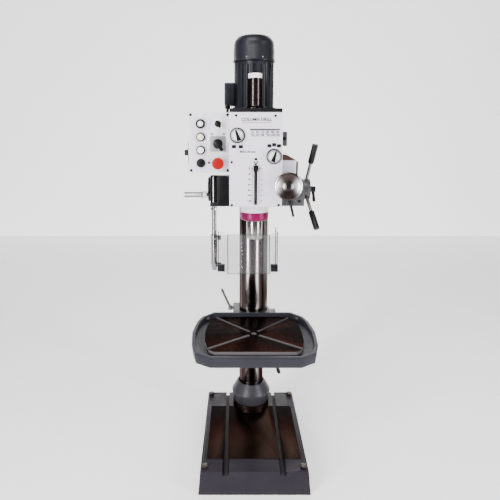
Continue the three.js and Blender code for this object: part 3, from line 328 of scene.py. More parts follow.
class Look(Enum):
    """Every finish on the machine."""

    BASE = Finish(
        "base_paint", (0.018, 0.0155, 0.0215), (0.026, 0.0235, 0.03), 0.4, 0.0, 700.0, 0.3,
        gloss=0.12, edge=(0.35, 0.28, 0.27),
        # Near black on the walls of the base's slots: painted shade.
        face=GroundFace(0.098, 0.06, (0.003, 0.003, 0.003), (0.1015, 0.1285), (-0.6, 0.2)),
    )
    TABLE = Finish(
        "table_paint", (0.022, 0.022, 0.029), (0.031, 0.031, 0.038), 0.4, 0.0, 700.0, 0.3,
        gloss=0.12, edge=(0.35, 0.28, 0.27),
        # Pale grey on the table's slot walls and pad edge: partly their steel, partly painted sheen.
        face=GroundFace(0.606, 0.0006, (0.13, 0.12, 0.125), (-1.0, 0.205), (-0.515, -0.148)),
    )
    CAST = Finish(
        "cast_paint", (0.03, 0.029, 0.035), (0.045, 0.044, 0.05), 0.34, 0.0, 700.0, 0.3, gloss=0.3,
    )
    MOTOR = Finish(
        "motor_paint", (0.008, 0.008, 0.011), (0.013, 0.0135, 0.018), 0.36, 0.1, 800.0, 0.2, gloss=0.2,
    )
    WHITE = Finish("white_paint", (0.7, 0.655, 0.73), (0.66, 0.62, 0.69), 0.42, 0.0, 520.0, 0.16, coat=0.2)
    GREY = Finish(
        "grey_paint", (0.06, 0.058, 0.062), (0.1, 0.098, 0.102), 0.36, 0.4, 700.0, 0.25, gloss=0.3,
    )
    STEEL = Finish(
        "turned_steel", (0.2, 0.185, 0.175), (0.26, 0.24, 0.23), 0.34, 1.0, 500.0, 0.01,
        (1.0, 1.0, 0.04), edge=(0.5, 0.48, 0.47),
    )
    OXIDE = Finish("dark_oxide", (0.03, 0.028, 0.027), (0.07, 0.06, 0.05), 0.3, 0.8, 500.0, 0.05)
    # Painted reflection bands run round the column, with painted shade between them and toward its sides.
    COLUMN = Finish(
        "column_chrome", (0.5, 0.46, 0.46), (0.4, 0.36, 0.36), 0.2, 1.0, 300.0, 0.02,
        (1.0, 1.0, 0.06), edge=(0.3, 0.27, 0.26), streaks=Streaks("XY", (0.0, 0.0), 8.0, 3.77),
    )
    TUBE = Finish(
        "dark_tube", (0.06, 0.045, 0.048), (0.04, 0.03, 0.032), 0.24, 1.0, 300.0, 0.02,
        edge=(0.3, 0.27, 0.26),
    )
    SILVER = Finish("silver_plate", (0.34, 0.34, 0.36), (0.3, 0.3, 0.32), 0.35, 0.4, 600.0, 0.03)
    SPUN = Finish("turned_spindle", (0.45, 0.43, 0.42), (0.34, 0.32, 0.31), 0.2, 1.0, 300.0, 0.03)
    CHROME = Finish(
        "chrome", (0.26, 0.25, 0.26), (0.2, 0.19, 0.2), 0.2, 1.0, 300.0, 0.0, edge=(0.4, 0.38, 0.38),
    )
    # Painted reflections: bright sectors left and right of the wheel's middle, painted shade above and
    # below it.
    WHEEL = Finish(
        "spun_aluminium", (0.8, 0.79, 0.79), (0.68, 0.67, 0.67), 0.26, 0.85, 120.0, 0.03,
        streaks=Streaks("XZ", (0.118, 1.232), 2.0, 3.14),
    )
    DIAL = Finish("dial_aluminium", (0.42, 0.42, 0.44), (0.36, 0.36, 0.38), 0.34, 0.8, 300.0, 0.01)
    RUST = Finish("brown_lid", (0.06, 0.032, 0.022), (0.1, 0.06, 0.045), 0.35, 0.3, 500.0, 0.1)
    BLACK = Finish(
        "black_plastic", (0.0025, 0.0025, 0.003), (0.006, 0.006, 0.007), 0.36, 0.0, 1500.0, 0.12, gloss=0.2,
    )
    IVORY = Finish("ivory_plastic", (0.8, 0.79, 0.62), (0.74, 0.73, 0.6), 0.3, 0.0, 1500.0, 0.05, coat=0.4)
    RED = Finish(
        "red_plastic", (0.3, 0.003, 0.003), (0.24, 0.002, 0.002), 0.35, 0.0, 1500.0, 0.06, gloss=0.2,
    )
    MAGENTA = Finish(
        "magenta_paint", (0.19, 0.001, 0.06), (0.15, 0.001, 0.045), 0.35, 0.1, 900.0, 0.05, gloss=0.2,
    )
    CLEAR = Finish(
        "clear_sheet", (0.14, 0.14, 0.15), (0.1, 0.1, 0.11), 0.08, 0.0, 60.0, 0.02, gloss=0.3, alpha=0.14,
    )
    EDGE = Finish(
        "sheet_edge", (0.01, 0.009, 0.01), (0.025, 0.023, 0.025), 0.3, 0.0, 300.0, 0.02, gloss=0.15,
    )
    CABLE = Finish("cable_rubber", (0.004, 0.004, 0.004), (0.008, 0.008, 0.008), 0.5, 0.0, 1200.0, 0.2)
    # Printed ink, also used for the painted shade in the rack's tooth gaps.
    PRINT = Finish(
        "ink_and_painted_shade", (0.006, 0.006, 0.007), (0.012, 0.012, 0.014), 0.5, 0.0, 1500.0, 0.03, gloss=0.1,
    )
    LABEL = Finish("label_white", (0.85, 0.85, 0.84), (0.78, 0.78, 0.77), 0.35, 0.0, 1500.0, 0.03)


# The finish of each of the machine's own parts, and the width of its soft edges in millimetres.
DRESS: dict[str, tuple[Look, float]] = {
    "base_plate": (Look.BASE, 2.5),
    "column": (Look.COLUMN, 1.0),
    "column_collar": (Look.CAST, 2.0),
    "table": (Look.TABLE, 2.0),
    "table_arm": (Look.CAST, 2.5),
    "crank_grip": (Look.BLACK, 1.5),
    "head_casting": (Look.WHITE, 4.0),
    "front_panel": (Look.WHITE, 0.8),
    "control_box": (Look.WHITE, 2.0),
    "control_panel": (Look.WHITE, 0.8),
    "depth_switch_box": (Look.WHITE, 2.0),
    "depth_pointer": (Look.BLACK, 0.6),
    "motor_plate": (Look.BLACK, 1.5),
    "motor_housing": (Look.MOTOR, 0.8),
    "fan_cover": (Look.MOTOR, 0.8),
    "terminal_box": (Look.MOTOR, 3.0),
    "motor_cable": (Look.CABLE, 0.0),
    "spindle_cover": (Look.TUBE, 1.0),
    "feed_gearbox": (Look.GREY, 4.0),
    "feed_hub": (Look.GREY, 2.5),
    "fine_feed_wheel": (Look.WHEEL, 0.8),
    "spring_housing": (Look.BLACK, 1.5),
    "quill": (Look.SPUN, 1.0),
    "spindle": (Look.SPUN, 1.0),
    "quill_ring": (Look.MAGENTA, 0.8),
    "quill_lock_lever": (Look.CHROME, 1.0),
    "guard_bracket": (Look.BLACK, 2.0),
    "guard_rod": (Look.CHROME, 1.0),
    "guard_clamp": (Look.CHROME, 1.0),
    "guard_shield": (Look.CLEAR, 0.0),
    "gear_dial_left": (Look.DIAL, 0.8),
    "gear_dial_right": (Look.DIAL, 0.8),
    "indicator_lamp": (Look.LABEL, 0.8),
    "start_button": (Look.IVORY, 0.8),
    "stop_button": (Look.LABEL, 0.8),
    "estop_button": (Look.RED, 2.0),
    **{f"level_bolt_{i}": (Look.OXIDE, 1.0) for i in (1, 2, 3, 4)},
    **{f"feed_grip_{i}": (Look.BLACK, 1.0) for i in (1, 2, 3)},
    **{f"{knob}_knob": (Look.BLACK, 1.0) for knob in ("mode", "speed")},
    **{f"{lever}_lever": (Look.BLACK, 1.0) for lever in ("table_lock", "hub_clamp", "feed_clutch")},
    **{node: (Look.BLACK, 1.0) for node in ("coolant_button", "isolator_handle", "cooling_fan")},
}
PLAIN = (Look.STEEL, 0.6)


class Workshop:
    """Makes pieces with modelling operators and dresses them."""

    def __init__(self) -> None:
        """Builds every finish once, and starts with no shapes made."""
        self.materials = {look: look.value.build() for look in Look}
        self.shapes: dict[tuple, bpy.types.Mesh] = {}

    @staticmethod
    def alone(obj: bpy.types.Object) -> None:
        """Makes the object the only one selected, and active."""
        bpy.ops.object.select_all(action="DESELECT")
        obj.select_set(True)
        bpy.context.view_layer.objects.active = obj

    def soften(self, obj: bpy.types.Object, width: float, segments: int = 3) -> None:
        """Rounds the sharp edges of an object.

        Args:
            obj: The object.
            width: The bevel's width in metres.
            segments: How many strips make the bevel.
        """
        self.alone(obj)
        if width > 0:
            bevel = obj.modifiers.new("edge", "BEVEL")
            bevel.width = width
            bevel.segments = segments
            bevel.limit_method = "ANGLE"
            bevel.angle_limit = math.radians(36)
            bevel.use_clamp_overlap = True
            bpy.ops.object.modifier_apply(modifier="edge")
        bpy.ops.object.shade_smooth_by_angle(angle=math.radians(34))

    def finish(self, look: Look, width: float) -> bpy.types.Object:
        """Applies the active object's place, softens its edges and dresses it.

        Args:
            look: Its finish.
            width: The bevel's width in metres.

        Returns:
            The object.
        """
        obj = bpy.context.object
        bpy.ops.object.transform_apply(location=True, rotation=True, scale=True)
        self.soften(obj, width)
        obj.data.materials.clear()
        obj.data.materials.append(self.materials[look])
        return obj

    @staticmethod
    def mount(obj: bpy.types.Object, name: str, body: str) -> None:
        """Names a finished piece, fixes it to its body and reports it."""
        obj.name = name
        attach(obj, body)
        LOG.info("made %s", name)

    def stamp(self, key: tuple, name: str, at: Point, body: str, model: Callable[[], None]) -> None:
        """Copies a shape to its place, and models it first if it is new.

        Args:
            key: What tells the shape from others.
            name: The piece's name.
            at: Its middle.
            body: The body it rides on.
            model: Models and finishes the shape round the origin.
        """
        if key not in self.shapes:
            bpy.ops.object.select_all(action="DESELECT")
            model()
            first = bpy.context.object
            self.shapes[key] = first.data
            bpy.data.objects.remove(first)
        mesh = self.shapes[key].copy()
        mesh.transform(Matrix.Translation(at))
        piece = bpy.data.objects.new(name, mesh)
        bpy.context.scene.collection.objects.link(piece)
        self.mount(piece, name, body)

    def block(
        self, name: str, low: Point, high: Point, look: Look, body: str = FRAME_BODY, width: float = 0.0006
    ) -> None:
        """Makes a soft-edged block.

        Args:
            name: The piece's name.
            low: Its lowest corner.
            high: Its highest corner.
            look: Its finish.
            body: The body it rides on.
            width: The widest that its bevel may be.
        """
        size = Vector(high) - Vector(low)
        bevel = min(width, min(size) * 0.4)

        def model() -> None:
            """Models the block round the origin."""
            bpy.ops.mesh.primitive_cube_add(size=1, scale=size)
            self.finish(look, bevel)

        key = ("block", look, *(round(side, 6) for side in (*size, bevel)))
        self.stamp(key, name, (Vector(low) + Vector(high)) / 2, body, model)

    def bar(self, name: str, x: Span, z: Span, y: float, look: Look = Look.PRINT) -> None:
        """Prints a plain bar on a panel.

        Args:
            name: The piece's name.
            x: Its left and right ends.
            z: Its lower and upper edges.
            y: The panel's face.
            look: Its finish.
        """
        self.block(name, (x[0], y - INK_OUT, z[0]), (x[1], y + INK_IN, z[1]), look, width=0.0)

    def round(
        self,
        name: str,
        at: Point,
        size: Span,
        axis: Axis,
        look: Look,
        body: str = FRAME_BODY,
        sides: int = 48,
    ) -> None:
        """Makes a soft-edged round bar.

        Args:
            name: The piece's name.
            at: Its middle.
            size: Its radius and length.
            axis: The way it points.
            look: Its finish.
            body: The body it rides on.
            sides: How many flats make the round.
        """
        radius, depth = size

        def model() -> None:
            """Models the bar round the origin."""
            bpy.ops.mesh.primitive_cylinder_add(
                vertices=sides, radius=radius, depth=depth, rotation=axis.value
            )
            self.finish(look, min(size) * 0.18)

        self.stamp(("round", look, axis, sides, *size), name, at, body, model)

    def ring(self, name: str, at: Point, size: Span, look: Look, body: str) -> None:
        """Makes a round ring that faces the operator.

        Args:
            name: The piece's name.
            at: Its middle.
            size: Its radius, and that of its section.
            look: Its finish.
            body: The body it rides on.
        """

        def model() -> None:
            """Models the ring round the origin."""
            bpy.ops.mesh.primitive_torus_add(
                rotation=Axis.Y.value, major_radius=size[0], minor_radius=size[1]
            )
            self.finish(look, 0.0)

        self.stamp(("ring", look, *size), name, at, body, model)

    def screw(self, name: str, at: Point, radius: float = 0.0045) -> None:
        """Makes a socket-head screw that faces the operator.

        Args:
            name: The piece's name.
            at: Centre of its head.
            radius: Radius of its head.
        """

        def model() -> None:
            """Models the head round the origin, and cuts its hexagon socket."""
            bpy.ops.mesh.primitive_cylinder_add(
                vertices=30, radius=radius, depth=radius * 0.9, rotation=Axis.Y.value
            )
            bpy.ops.object.mode_set(mode="EDIT")
            bpy.ops.mesh.select_all(action="SELECT")
            bpy.ops.mesh.inset(thickness=radius * 0.08, use_individual=False)
            bpy.ops.object.mode_set(mode="OBJECT")
            head = self.finish(Look.BLACK, radius * 0.12)
            bpy.ops.mesh.primitive_cylinder_add(
                vertices=6,
                radius=radius * 0.5,
                depth=radius,
                location=(0, -radius * 0.5, 0),
                rotation=Axis.Y.value,
            )
            socket = bpy.context.object
            cut = head.modifiers.new("socket", "BOOLEAN")
            cut.operation = "DIFFERENCE"
            cut.object = socket
            self.alone(head)
            bpy.ops.object.modifier_apply(modifier="socket")
            bpy.data.objects.remove(socket)

        self.stamp(("screw", radius), name, at, FRAME_BODY, model)

    def words(self, name: str, text: str, at: Span, y: float, size: float) -> None:
        """Prints figures that face the operator.

        Args:
            name: The piece's name.
            text: What they say.
            at: Their middle, across and up.
            y: The panel's face.
            size: Their height.
        """
        bpy.ops.object.select_all(action="DESELECT")
        bpy.ops.object.text_add(location=(at[0], y - INK_IN, at[1]), rotation=Axis.Y.value)
        label = bpy.context.object
        label.data.body = text
        label.data.size = size
        label.data.align_x = "CENTER"
        label.data.align_y = "CENTER"
        label.data.extrude = 0.0001
        label.data.offset = size * 0.03
        bpy.ops.object.convert(target="MESH")
        self.mount(self.finish(Look.PRINT, 0.0), name, FRAME_BODY)


@dataclass
class CastParts:
    """The machine's own parts, edges rounded and surfaces finished.

    Args:
        shop: The workshop.
        weld: How near the corners are that become one, in metres.
        flat: The angle under which two faces become one, in degrees.
    """

    shop: Workshop
    weld: float = 0.00002
    flat: float = 0.4

    def build(self) -> None:
        """Makes and dresses a soft-edged skin over every node of the frame."""
        for node, source in frame["nodes"].items():
            look, width = DRESS.get(node, PLAIN)
            self.dress(source, look)
            skin = source.copy()
            skin.data = source.data.copy()
            bpy.context.scene.collection.objects.link(skin)
            skin.parent = None
            self.shop.alone(skin)
            bpy.ops.object.mode_set(mode="EDIT")
            bpy.ops.mesh.select_all(action="SELECT")
            bpy.ops.mesh.remove_doubles(threshold=self.weld)
            bpy.ops.mesh.dissolve_limited(angle_limit=math.radians(self.flat))
            bpy.ops.object.mode_set(mode="OBJECT")
            self.shop.soften(skin, width / 1000, 2)
            self.shop.mount(skin, f"{node}_skin", self.body(node))
            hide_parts(node)

    def dress(self, source: bpy.types.Object, look: Look) -> None:
        """Gives a node of the frame its finish in every material slot."""
        materials = source.data.materials
        if not materials:
            materials.append(self.shop.materials[look])
        for index in range(len(materials)):
            materials[index] = self.shop.materials[look]

    @staticmethod
    def body(node: str) -> str:
        """Returns the name of the body that lists a node."""
        bodies = frame["record"]["behaviour"]["bodies"]
        return next(name for name, nodes in bodies.items() if node in nodes)


@dataclass
class FrontPanel:
    """Screws, printed scales, chart and dial marks of the front panel.

    Args:
        shop: The workshop.
        screws: Where its screws are, across and up.
        dials: Middle of the left and the right gear dial.
        dial_bodies: The bodies that they ride on.
        dial_turn: Way to the middle of each dial's symbols, in quarter turns.
        dial_step: Angle from one symbol to the next at each dial.
        symbols: Which symbols each dial has, counted from the middle one.
        symbol_reach: How far the symbols are from the dial's middle.
        symbol_half: Half the width and height of a symbol.
        dial_lean: How far each dial's needle leans from upright.
        rim: Radius and thickness of the dark rim behind a dial.
        face: Radius and thickness of a dial's white face.
        face_out: How far its middle stands off the panel.
        needle_out: How far a needle stands off the panel.
        ticks: How many marks the depth scale has.
        travel: Length of the scale, which is the quill's travel.
        scale_top: Height of its zero mark.
        tick_start: Where a mark starts, from the middle of the slot.
        tick_length: Length of a long and of a short mark.
        tick_half: Half a mark's thickness.
        figure_x: Where the depth figures stand, left and right of the slot.
        chart_x: Left and right ends of the speed chart.
        chart_top: Height of the lower edge of its header.
        speeds: The spindle's speeds, in turns a minute, in two rows.
    """

    shop: Workshop
    screws: tuple[Span, ...] = (
        (-0.073, 1.488), (0.071, 1.487), (-0.089, 1.318), (-0.089, 1.158), (0.086, 1.158),
    )
    dials: tuple[Span, Span] = ((-0.068, 1.416), (0.067, 1.339))
    dial_bodies: tuple[str, str] = ("dial_left", "dial_right")
    dial_turn: tuple[int, int] = (-1, 1)
    dial_step: Span = (0.3, 0.42)
    symbols: tuple[tuple[int, ...], ...] = ((-1, 1), (-1, 0, 1))
    symbol_reach: float = 0.043
    symbol_half: Span = (0.0078, 0.006)
    dial_lean: Span = (-0.35, 0.3)
    rim: Span = (0.0285, 0.002)
    face: Span = (0.0188, 0.0012)
    face_out: float = 0.0142
    needle_out: float = 0.0246
    ticks: int = 27
    travel: float = 0.13
    scale_top: float = 1.294
    tick_start: float = 0.0095
    tick_length: Span = (0.007, 0.004)
    tick_half: float = 0.0009
    figure_x: Span = (-0.024, 0.022)
    chart_x: Span = (-0.022, 0.088)
    chart_top: float = 1.434
    speeds: tuple[tuple[int, ...], ...] = ((40, 85, 120, 230, 480, 580), (150, 310, 440, 900, 1500, 2200))

    def build(self) -> None:
        """Makes the panel's details."""
        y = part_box("front_panel")[0].y
        for i, (x, z) in enumerate(self.screws):
            self.shop.screw(f"panel_screw_{i}", (x, y - 0.001, z))
        self.scale(y)
        self.chart(y)
        self.headings(y)
        for side in (0, 1):
            self.symbols_by(side, y)
            self.dial(side, y)

    def scale(self, y: float) -> None:
        """Prints the depth scale on both sides of the slot."""
        step = self.travel / (self.ticks - 1)
        for i in range(self.ticks):
            z = self.scale_top - i * step
            end = self.tick_start + self.tick_length[i % 2]
            for side in (-1, 1):
                x = tuple(sorted((side * self.tick_start, side * end)))
                self.shop.bar(f"tick_{i}_{side + 1}", x, (z - self.tick_half, z + self.tick_half), y)
            if i % 4 == 0:
                self.shop.words(f"depth_{i}", str(i * 5), (self.figure_x[0], z), y, 0.0095)
                self.shop.words(f"depth_in_{i}", str(i // 4), (self.figure_x[1], z), y, 0.0095)

    def chart(self, y: float) -> None:
        """Prints the speed chart: a header, and rows of speeds with a line under each."""
        left, right = self.chart_x
        self.shop.bar("chart_header", self.chart_x, (self.chart_top, self.chart_top + 0.006), y, Look.GREY)
        columns = len(self.speeds[0])
        wide = (right - left) / columns
        for row, speeds in enumerate(self.speeds):
            z = self.chart_top - 0.006 - row * 0.011
            for column, speed in enumerate(speeds):
                i = row * columns + column
                x = left + (column + 0.5) * wide
                self.shop.words(f"speed_{i}", str(speed), (x, z), y, 0.009)
                self.shop.bar(f"chart_line_{i}", (x - wide / 2, x + wide / 2), (z - 0.0056, z - 0.005), y)

    def headings(self, y: float) -> None:
        """Prints the panel's plain words, and fits the depth stop."""
        self.shop.words("title", "COLUMN DRILL", (0.002, 1.473), y, 0.0155)
        self.shop.bar("title_bar", (-0.05, 0.055), (1.4615, 1.463), y, Look.MAGENTA)
        self.shop.words("capacity", "MAX 30 mm", (-0.03, 1.356), y, 0.011)
        self.shop.words("depth_vee", "V", (0.0, 1.312), y, 0.026)
        low, high = (-0.005, y - 0.003, 1.325), (0.005, y + INK_IN, 1.333)
        self.shop.block("depth_stop", low, high, Look.BLACK, width=0.001)

    def symbols_by(self, side: int, y: float) -> None:
        """Prints the arc of symbols by one gear dial."""
        half_x, half_z = self.symbol_half
        for k in self.symbols[side]:
            angle = math.pi / 2 * self.dial_turn[side] + k * self.dial_step[side]
            x = self.dials[side][0] + self.symbol_reach * math.cos(angle)
            z = self.dials[side][1] + self.symbol_reach * math.sin(angle)
            low, high = (x - half_x, y - 0.0005, z - half_z), (x + half_x, y + INK_IN, z + half_z)
            self.shop.block(f"gear_mark_{side}_{k + 1}", low, high, Look.PRINT, width=0.0002)

    def dial(self, side: int, y: float) -> None:
        """Fits a gear dial's rim, its white face and the needle on its grip."""
        x, z = self.dials[side]
        body = self.dial_bodies[side]
        self.shop.round(f"dial_rim_{side}", (x, y - 0.001, z), self.rim, Axis.Y, Look.PRINT)
        self.shop.round(f"dial_face_{side}", (x, y - self.face_out, z), self.face, Axis.Y, Look.LABEL, body)
        bpy.ops.object.select_all(action="DESELECT")
        bpy.ops.mesh.primitive_cone_add(
            vertices=4,
            radius1=0.0085,
            radius2=0.0025,
            depth=0.04,
            location=(x, y - self.needle_out, z),
            rotation=(0, self.dial_lean[side], 0),
        )
        bpy.context.object.scale.y = 0.12
        self.shop.mount(self.shop.finish(Look.BLACK, 0.0002), f"dial_needle_{side}", body)


@dataclass
class ControlBox:
    """Screws, bezels and switch plates of the control box.

    Args:
        shop: The workshop.
        inset: How far the screws are in from the panel's corners.
        buttons_x: Where the lamp and the buttons stand.
        lamp_z: The lamp's height.
        buttons_z: Heights of the start, stop and coolant buttons.
        ring: Radius of the ring round a button, and that of its section.
        lamp_bezel: Radius and thickness of the bezel behind the lamp.
        bezel: Radius and thickness of the bezel behind a button.
        knobs_x: Where the knobs and the emergency stop stand.
        mode_z: Height of the mode knob.
        speed_z: Height of the speed switch.
        stop_z: Height of the emergency stop.
        collar: Radius and thickness of the collar behind it.
        isolator: Front, back, lower and upper edges of the isolator's plate.
    """

    shop: Workshop
    inset: float = 0.009
    buttons_x: float = -0.204
    lamp_z: float = 1.458
    buttons_z: Point = (1.41, 1.362, 1.314)
    ring: Span = (0.0125, 0.0028)
    lamp_bezel: Span = (0.0175, 0.006)
    bezel: Span = (0.0165, 0.004)
    knobs_x: float = -0.14
    mode_z: float = 1.458
    speed_z: float = 1.385
    stop_z: float = 1.313
    collar: Span = (0.019, 0.008)
    isolator: tuple[float, float, float, float] = (-0.428, -0.372, 1.312, 1.392)

    def build(self) -> None:
        """Makes the control box's details."""
        low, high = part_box("control_panel")
        y = low.y
        left, right = low.x + self.inset, high.x - self.inset
        lower, upper = low.z + self.inset, high.z - self.inset
        for i, (x, z) in enumerate(((left, lower), (right, lower), (left, upper), (right, upper))):
            self.shop.screw(f"box_screw_{i}", (x, y - 0.001, z), 0.005)
        self.rings()
        self.bezels(y)
        self.plate("mode_plate", self.mode_z, 0.018, Look.LABEL, y)
        self.plate("speed_plate", self.speed_z, 0.029, Look.SILVER, y)
        at = (self.knobs_x, y - self.collar[1] / 2, self.stop_z)
        self.shop.round("estop_collar", at, self.collar, Axis.Y, Look.BLACK)
        self.shop.round("key_dot", (-0.174, y - 0.0015, 1.315), (0.004, 0.003), Axis.Y, Look.BLACK)
        for i, x in enumerate((-0.162, -0.118)):
            self.shop.bar(f"speed_mark_{i}", (x - 0.005, x + 0.005), (1.419, 1.4235), y)
        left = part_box("control_box")[0].x
        front, back, lower, upper = self.isolator
        near, far = (left - 0.0035, front, lower), (left + INK_IN, back, upper)
        self.shop.block("isolator_plate", near, far, Look.BLACK)

    def rings(self) -> None:
        """Fits a dark ring round the lamp and the start and stop buttons."""
        start, stop, _ = self.buttons_z
        for name, node, z, body in (
            ("lamp", "indicator_lamp", self.lamp_z, FRAME_BODY),
            ("start", "start_button", start, "start"),
            ("stop", "stop_button", stop, "stop"),
        ):
            at = (self.buttons_x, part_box(node)[0].y + 0.003, z)
            self.shop.ring(f"{name}_ring", at, self.ring, Look.BLACK, body)

    def bezels(self, y: float) -> None:
        """Fits the bezels behind the lamp and the buttons."""
        at = (self.buttons_x, y - self.lamp_bezel[1] / 2, self.lamp_z)
        self.shop.round("lamp_bezel", at, self.lamp_bezel, Axis.Y, Look.BLACK)
        for i, z in enumerate(self.buttons_z):
            at = (self.buttons_x, y - self.bezel[1] / 2, z)
            self.shop.round(f"button_bezel_{i}", at, self.bezel, Axis.Y, Look.BLACK)

    def plate(self, name: str, z: float, half: float, look: Look, y: float) -> None:
        """Makes a square plate behind a knob.

        Args:
            name: The piece's name.
            z: Its middle's height.
            half: Half its width.
            look: Its finish.
            y: The panel's face.
        """
        low = (self.knobs_x - half, y - 0.0018, z - half)
        high = (self.knobs_x + half, y + INK_OUT, z + half)
        self.shop.block(name, low, high, look, width=0.0012)


@dataclass
class Rack:
    """Painted shade in the gaps between the teeth down the outer face of the rack, as thin dark strips.

    Args:
        shop: The workshop.
        pitch: From one gap to the next.
        gap: A gap's depth, width and height.
        end: How much of the rack has no gaps at each end.
    """

    shop: Workshop
    pitch: float = 0.0085
    gap: Point = (0.0008, 0.026, 0.004)
    end: float = 0.01

    def build(self) -> None:
        """Makes one strip of painted shade and repeats it up the rack."""
        low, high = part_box("column_rack")
        bpy.ops.object.select_all(action="DESELECT")
        at = (high.x - 0.0002, 0, low.z + self.end)
        bpy.ops.mesh.primitive_cube_add(size=1, location=at, scale=self.gap)
        gap = bpy.context.object
        bpy.ops.object.transform_apply(location=True, rotation=True, scale=True)
        array = gap.modifiers.new("pitch", "ARRAY")
        array.use_relative_offset = False
        array.use_constant_offset = True
        array.constant_offset_displace = (0, 0, self.pitch)
        array.count = int((high.z - low.z - self.end * 2) / self.pitch)
        bpy.ops.object.modifier_apply(modifier="pitch")
        # dark strips: painted shade in the gaps between the rack's teeth
        self.shop.mount(self.shop.finish(Look.PRINT, 0.0), "rack_gap_shade", "rack_body")


@dataclass
class Guard:
    """Nuts on the guard rod, and the clips, folds and edges of the clear guard.

    Args:
        shop: The workshop.
        rod: Where the guard rod stands.
        nuts_z: Heights of its nuts.
        nut: A nut's radius and height.
        clips: Where the corner clips stand.
        clip_half: Half a clip's width and depth.
        clip_z: A clip's lower and upper edges, from the guard's lower edge.
        folds: Where the sheet is folded.
        fold_half: Half a fold's width and depth.
        edge_x: Left and right ends of the front edges.
        edge_y: Front and back of those edges, from the guard's front.
        edge_rise: Their height.
    """

    shop: Workshop
    rod: Span = (-0.158, -0.395)
    nuts_z: Span = (1.02, 1.135)
    nut: Span = (0.0135, 0.012)
    clips: tuple[Span, ...] = ((-0.13, -0.438), (0.073, -0.441))
    clip_half: Span = (0.014, 0.011)
    clip_z: Span = (0.003, 0.03)
    folds: tuple[Span, ...] = (
        (-0.1415, -0.41), (-0.104, -0.4688), (0.052, -0.4688), (0.0868, -0.411), (0.0868, -0.322),
    )
    fold_half: Span = (0.0016, 0.0013)
    edge_x: Span = (-0.103, 0.051)
    edge_y: Span = (0.0001, 0.0018)
    edge_rise: float = 0.002

    def build(self) -> None:
        """Makes the guard's fittings."""
        for i, z in enumerate(self.nuts_z):
            self.shop.round(f"rod_nut_{i}", (*self.rod, z), self.nut, Axis.Z, Look.CHROME, sides=6)
        low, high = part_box("guard_shield")
        clip = (low.z + self.clip_z[0], low.z + self.clip_z[1])
        self.posts("guard_clip", self.clips, self.clip_half, clip, Look.BLACK, 0.002)
        self.posts("guard_fold", self.folds, self.fold_half, (low.z, high.z), Look.EDGE, 0.0004)
        for i, z in enumerate((low.z, high.z - self.edge_rise)):
            near = (self.edge_x[0], low.y + self.edge_y[0], z)
            far = (self.edge_x[1], low.y + self.edge_y[1], z + self.edge_rise)
            self.shop.block(f"guard_edge_{i}", near, far, Look.EDGE, "guard", 0.0004)

    def posts(
        self, name: str, places: tuple[Span, ...], half: Span, z: Span, look: Look, width: float
    ) -> None:
        """Stands a block at each place round the guard.

        Args:
            name: The start of the pieces' names.
            places: Their middles.
            half: Half their width and depth.
            z: Their lower and upper ends.
            look: Their finish.
            width: The width of their bevels.
        """
        for i, (x, y) in enumerate(places):
            near = (x - half[0], y - half[1], z[0])
            far = (x + half[0], y + half[1], z[1])
            self.shop.block(f"{name}_{i}", near, far, look, "guard", width)


@dataclass
class MotorFittings:
    """Screws on the motor, the band on the spindle cover and the cable gland.

    Args:
        shop: The workshop.
        screws: How many screws hold the fan cover.
        reach: How far they are from the motor's middle.
        screw: Their radius and height.
        band: Radius and height of the band on the spindle cover.
        lid_screws: Heights of the terminal box's screws from its lower face.
        gland: Radius and height of the cable gland.
        gland_x: Where it stands.
    """

    shop: Workshop
    screws: int = 8
    reach: float = 0.081
    screw: Span = (0.0042, 0.006)
    band: Span = (0.0266, 0.021)
    lid_screws: Span = (0.012, 0.077)
    gland: Span = (0.011, 0.012)
    gland_x: float = -0.108

    def build(self) -> None:
        """Makes the motor's fittings."""
        low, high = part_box("motor_housing")
        x, y = (low.x + high.x) / 2, (low.y + high.y) / 2
        for i in range(self.screws):
            angle = math.tau * (i + 0.5) / self.screws
            at = (x + self.reach * math.cos(angle), y + self.reach * math.sin(angle), high.z + 0.012)
            self.shop.round(f"cover_screw_{i}", at, self.screw, Axis.Z, Look.STEEL, sides=20)
        front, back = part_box("spindle_cover")
        at = (0, (front.y + back.y) / 2, back.z - 0.013)
        self.shop.round("cover_band", at, self.band, Axis.Z, Look.LABEL, sides=64)
        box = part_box("terminal_box")[0]
        for i, z in enumerate(self.lid_screws):
            self.shop.screw(f"terminal_screw_{i}", (box.x + 0.01, y - 0.0425, box.z + z), 0.0035)
        at = (self.gland_x, y, box.z - self.gland[1] / 2)
        self.shop.round("cable_gland", at, self.gland, Axis.Z, Look.BLACK, sides=24)


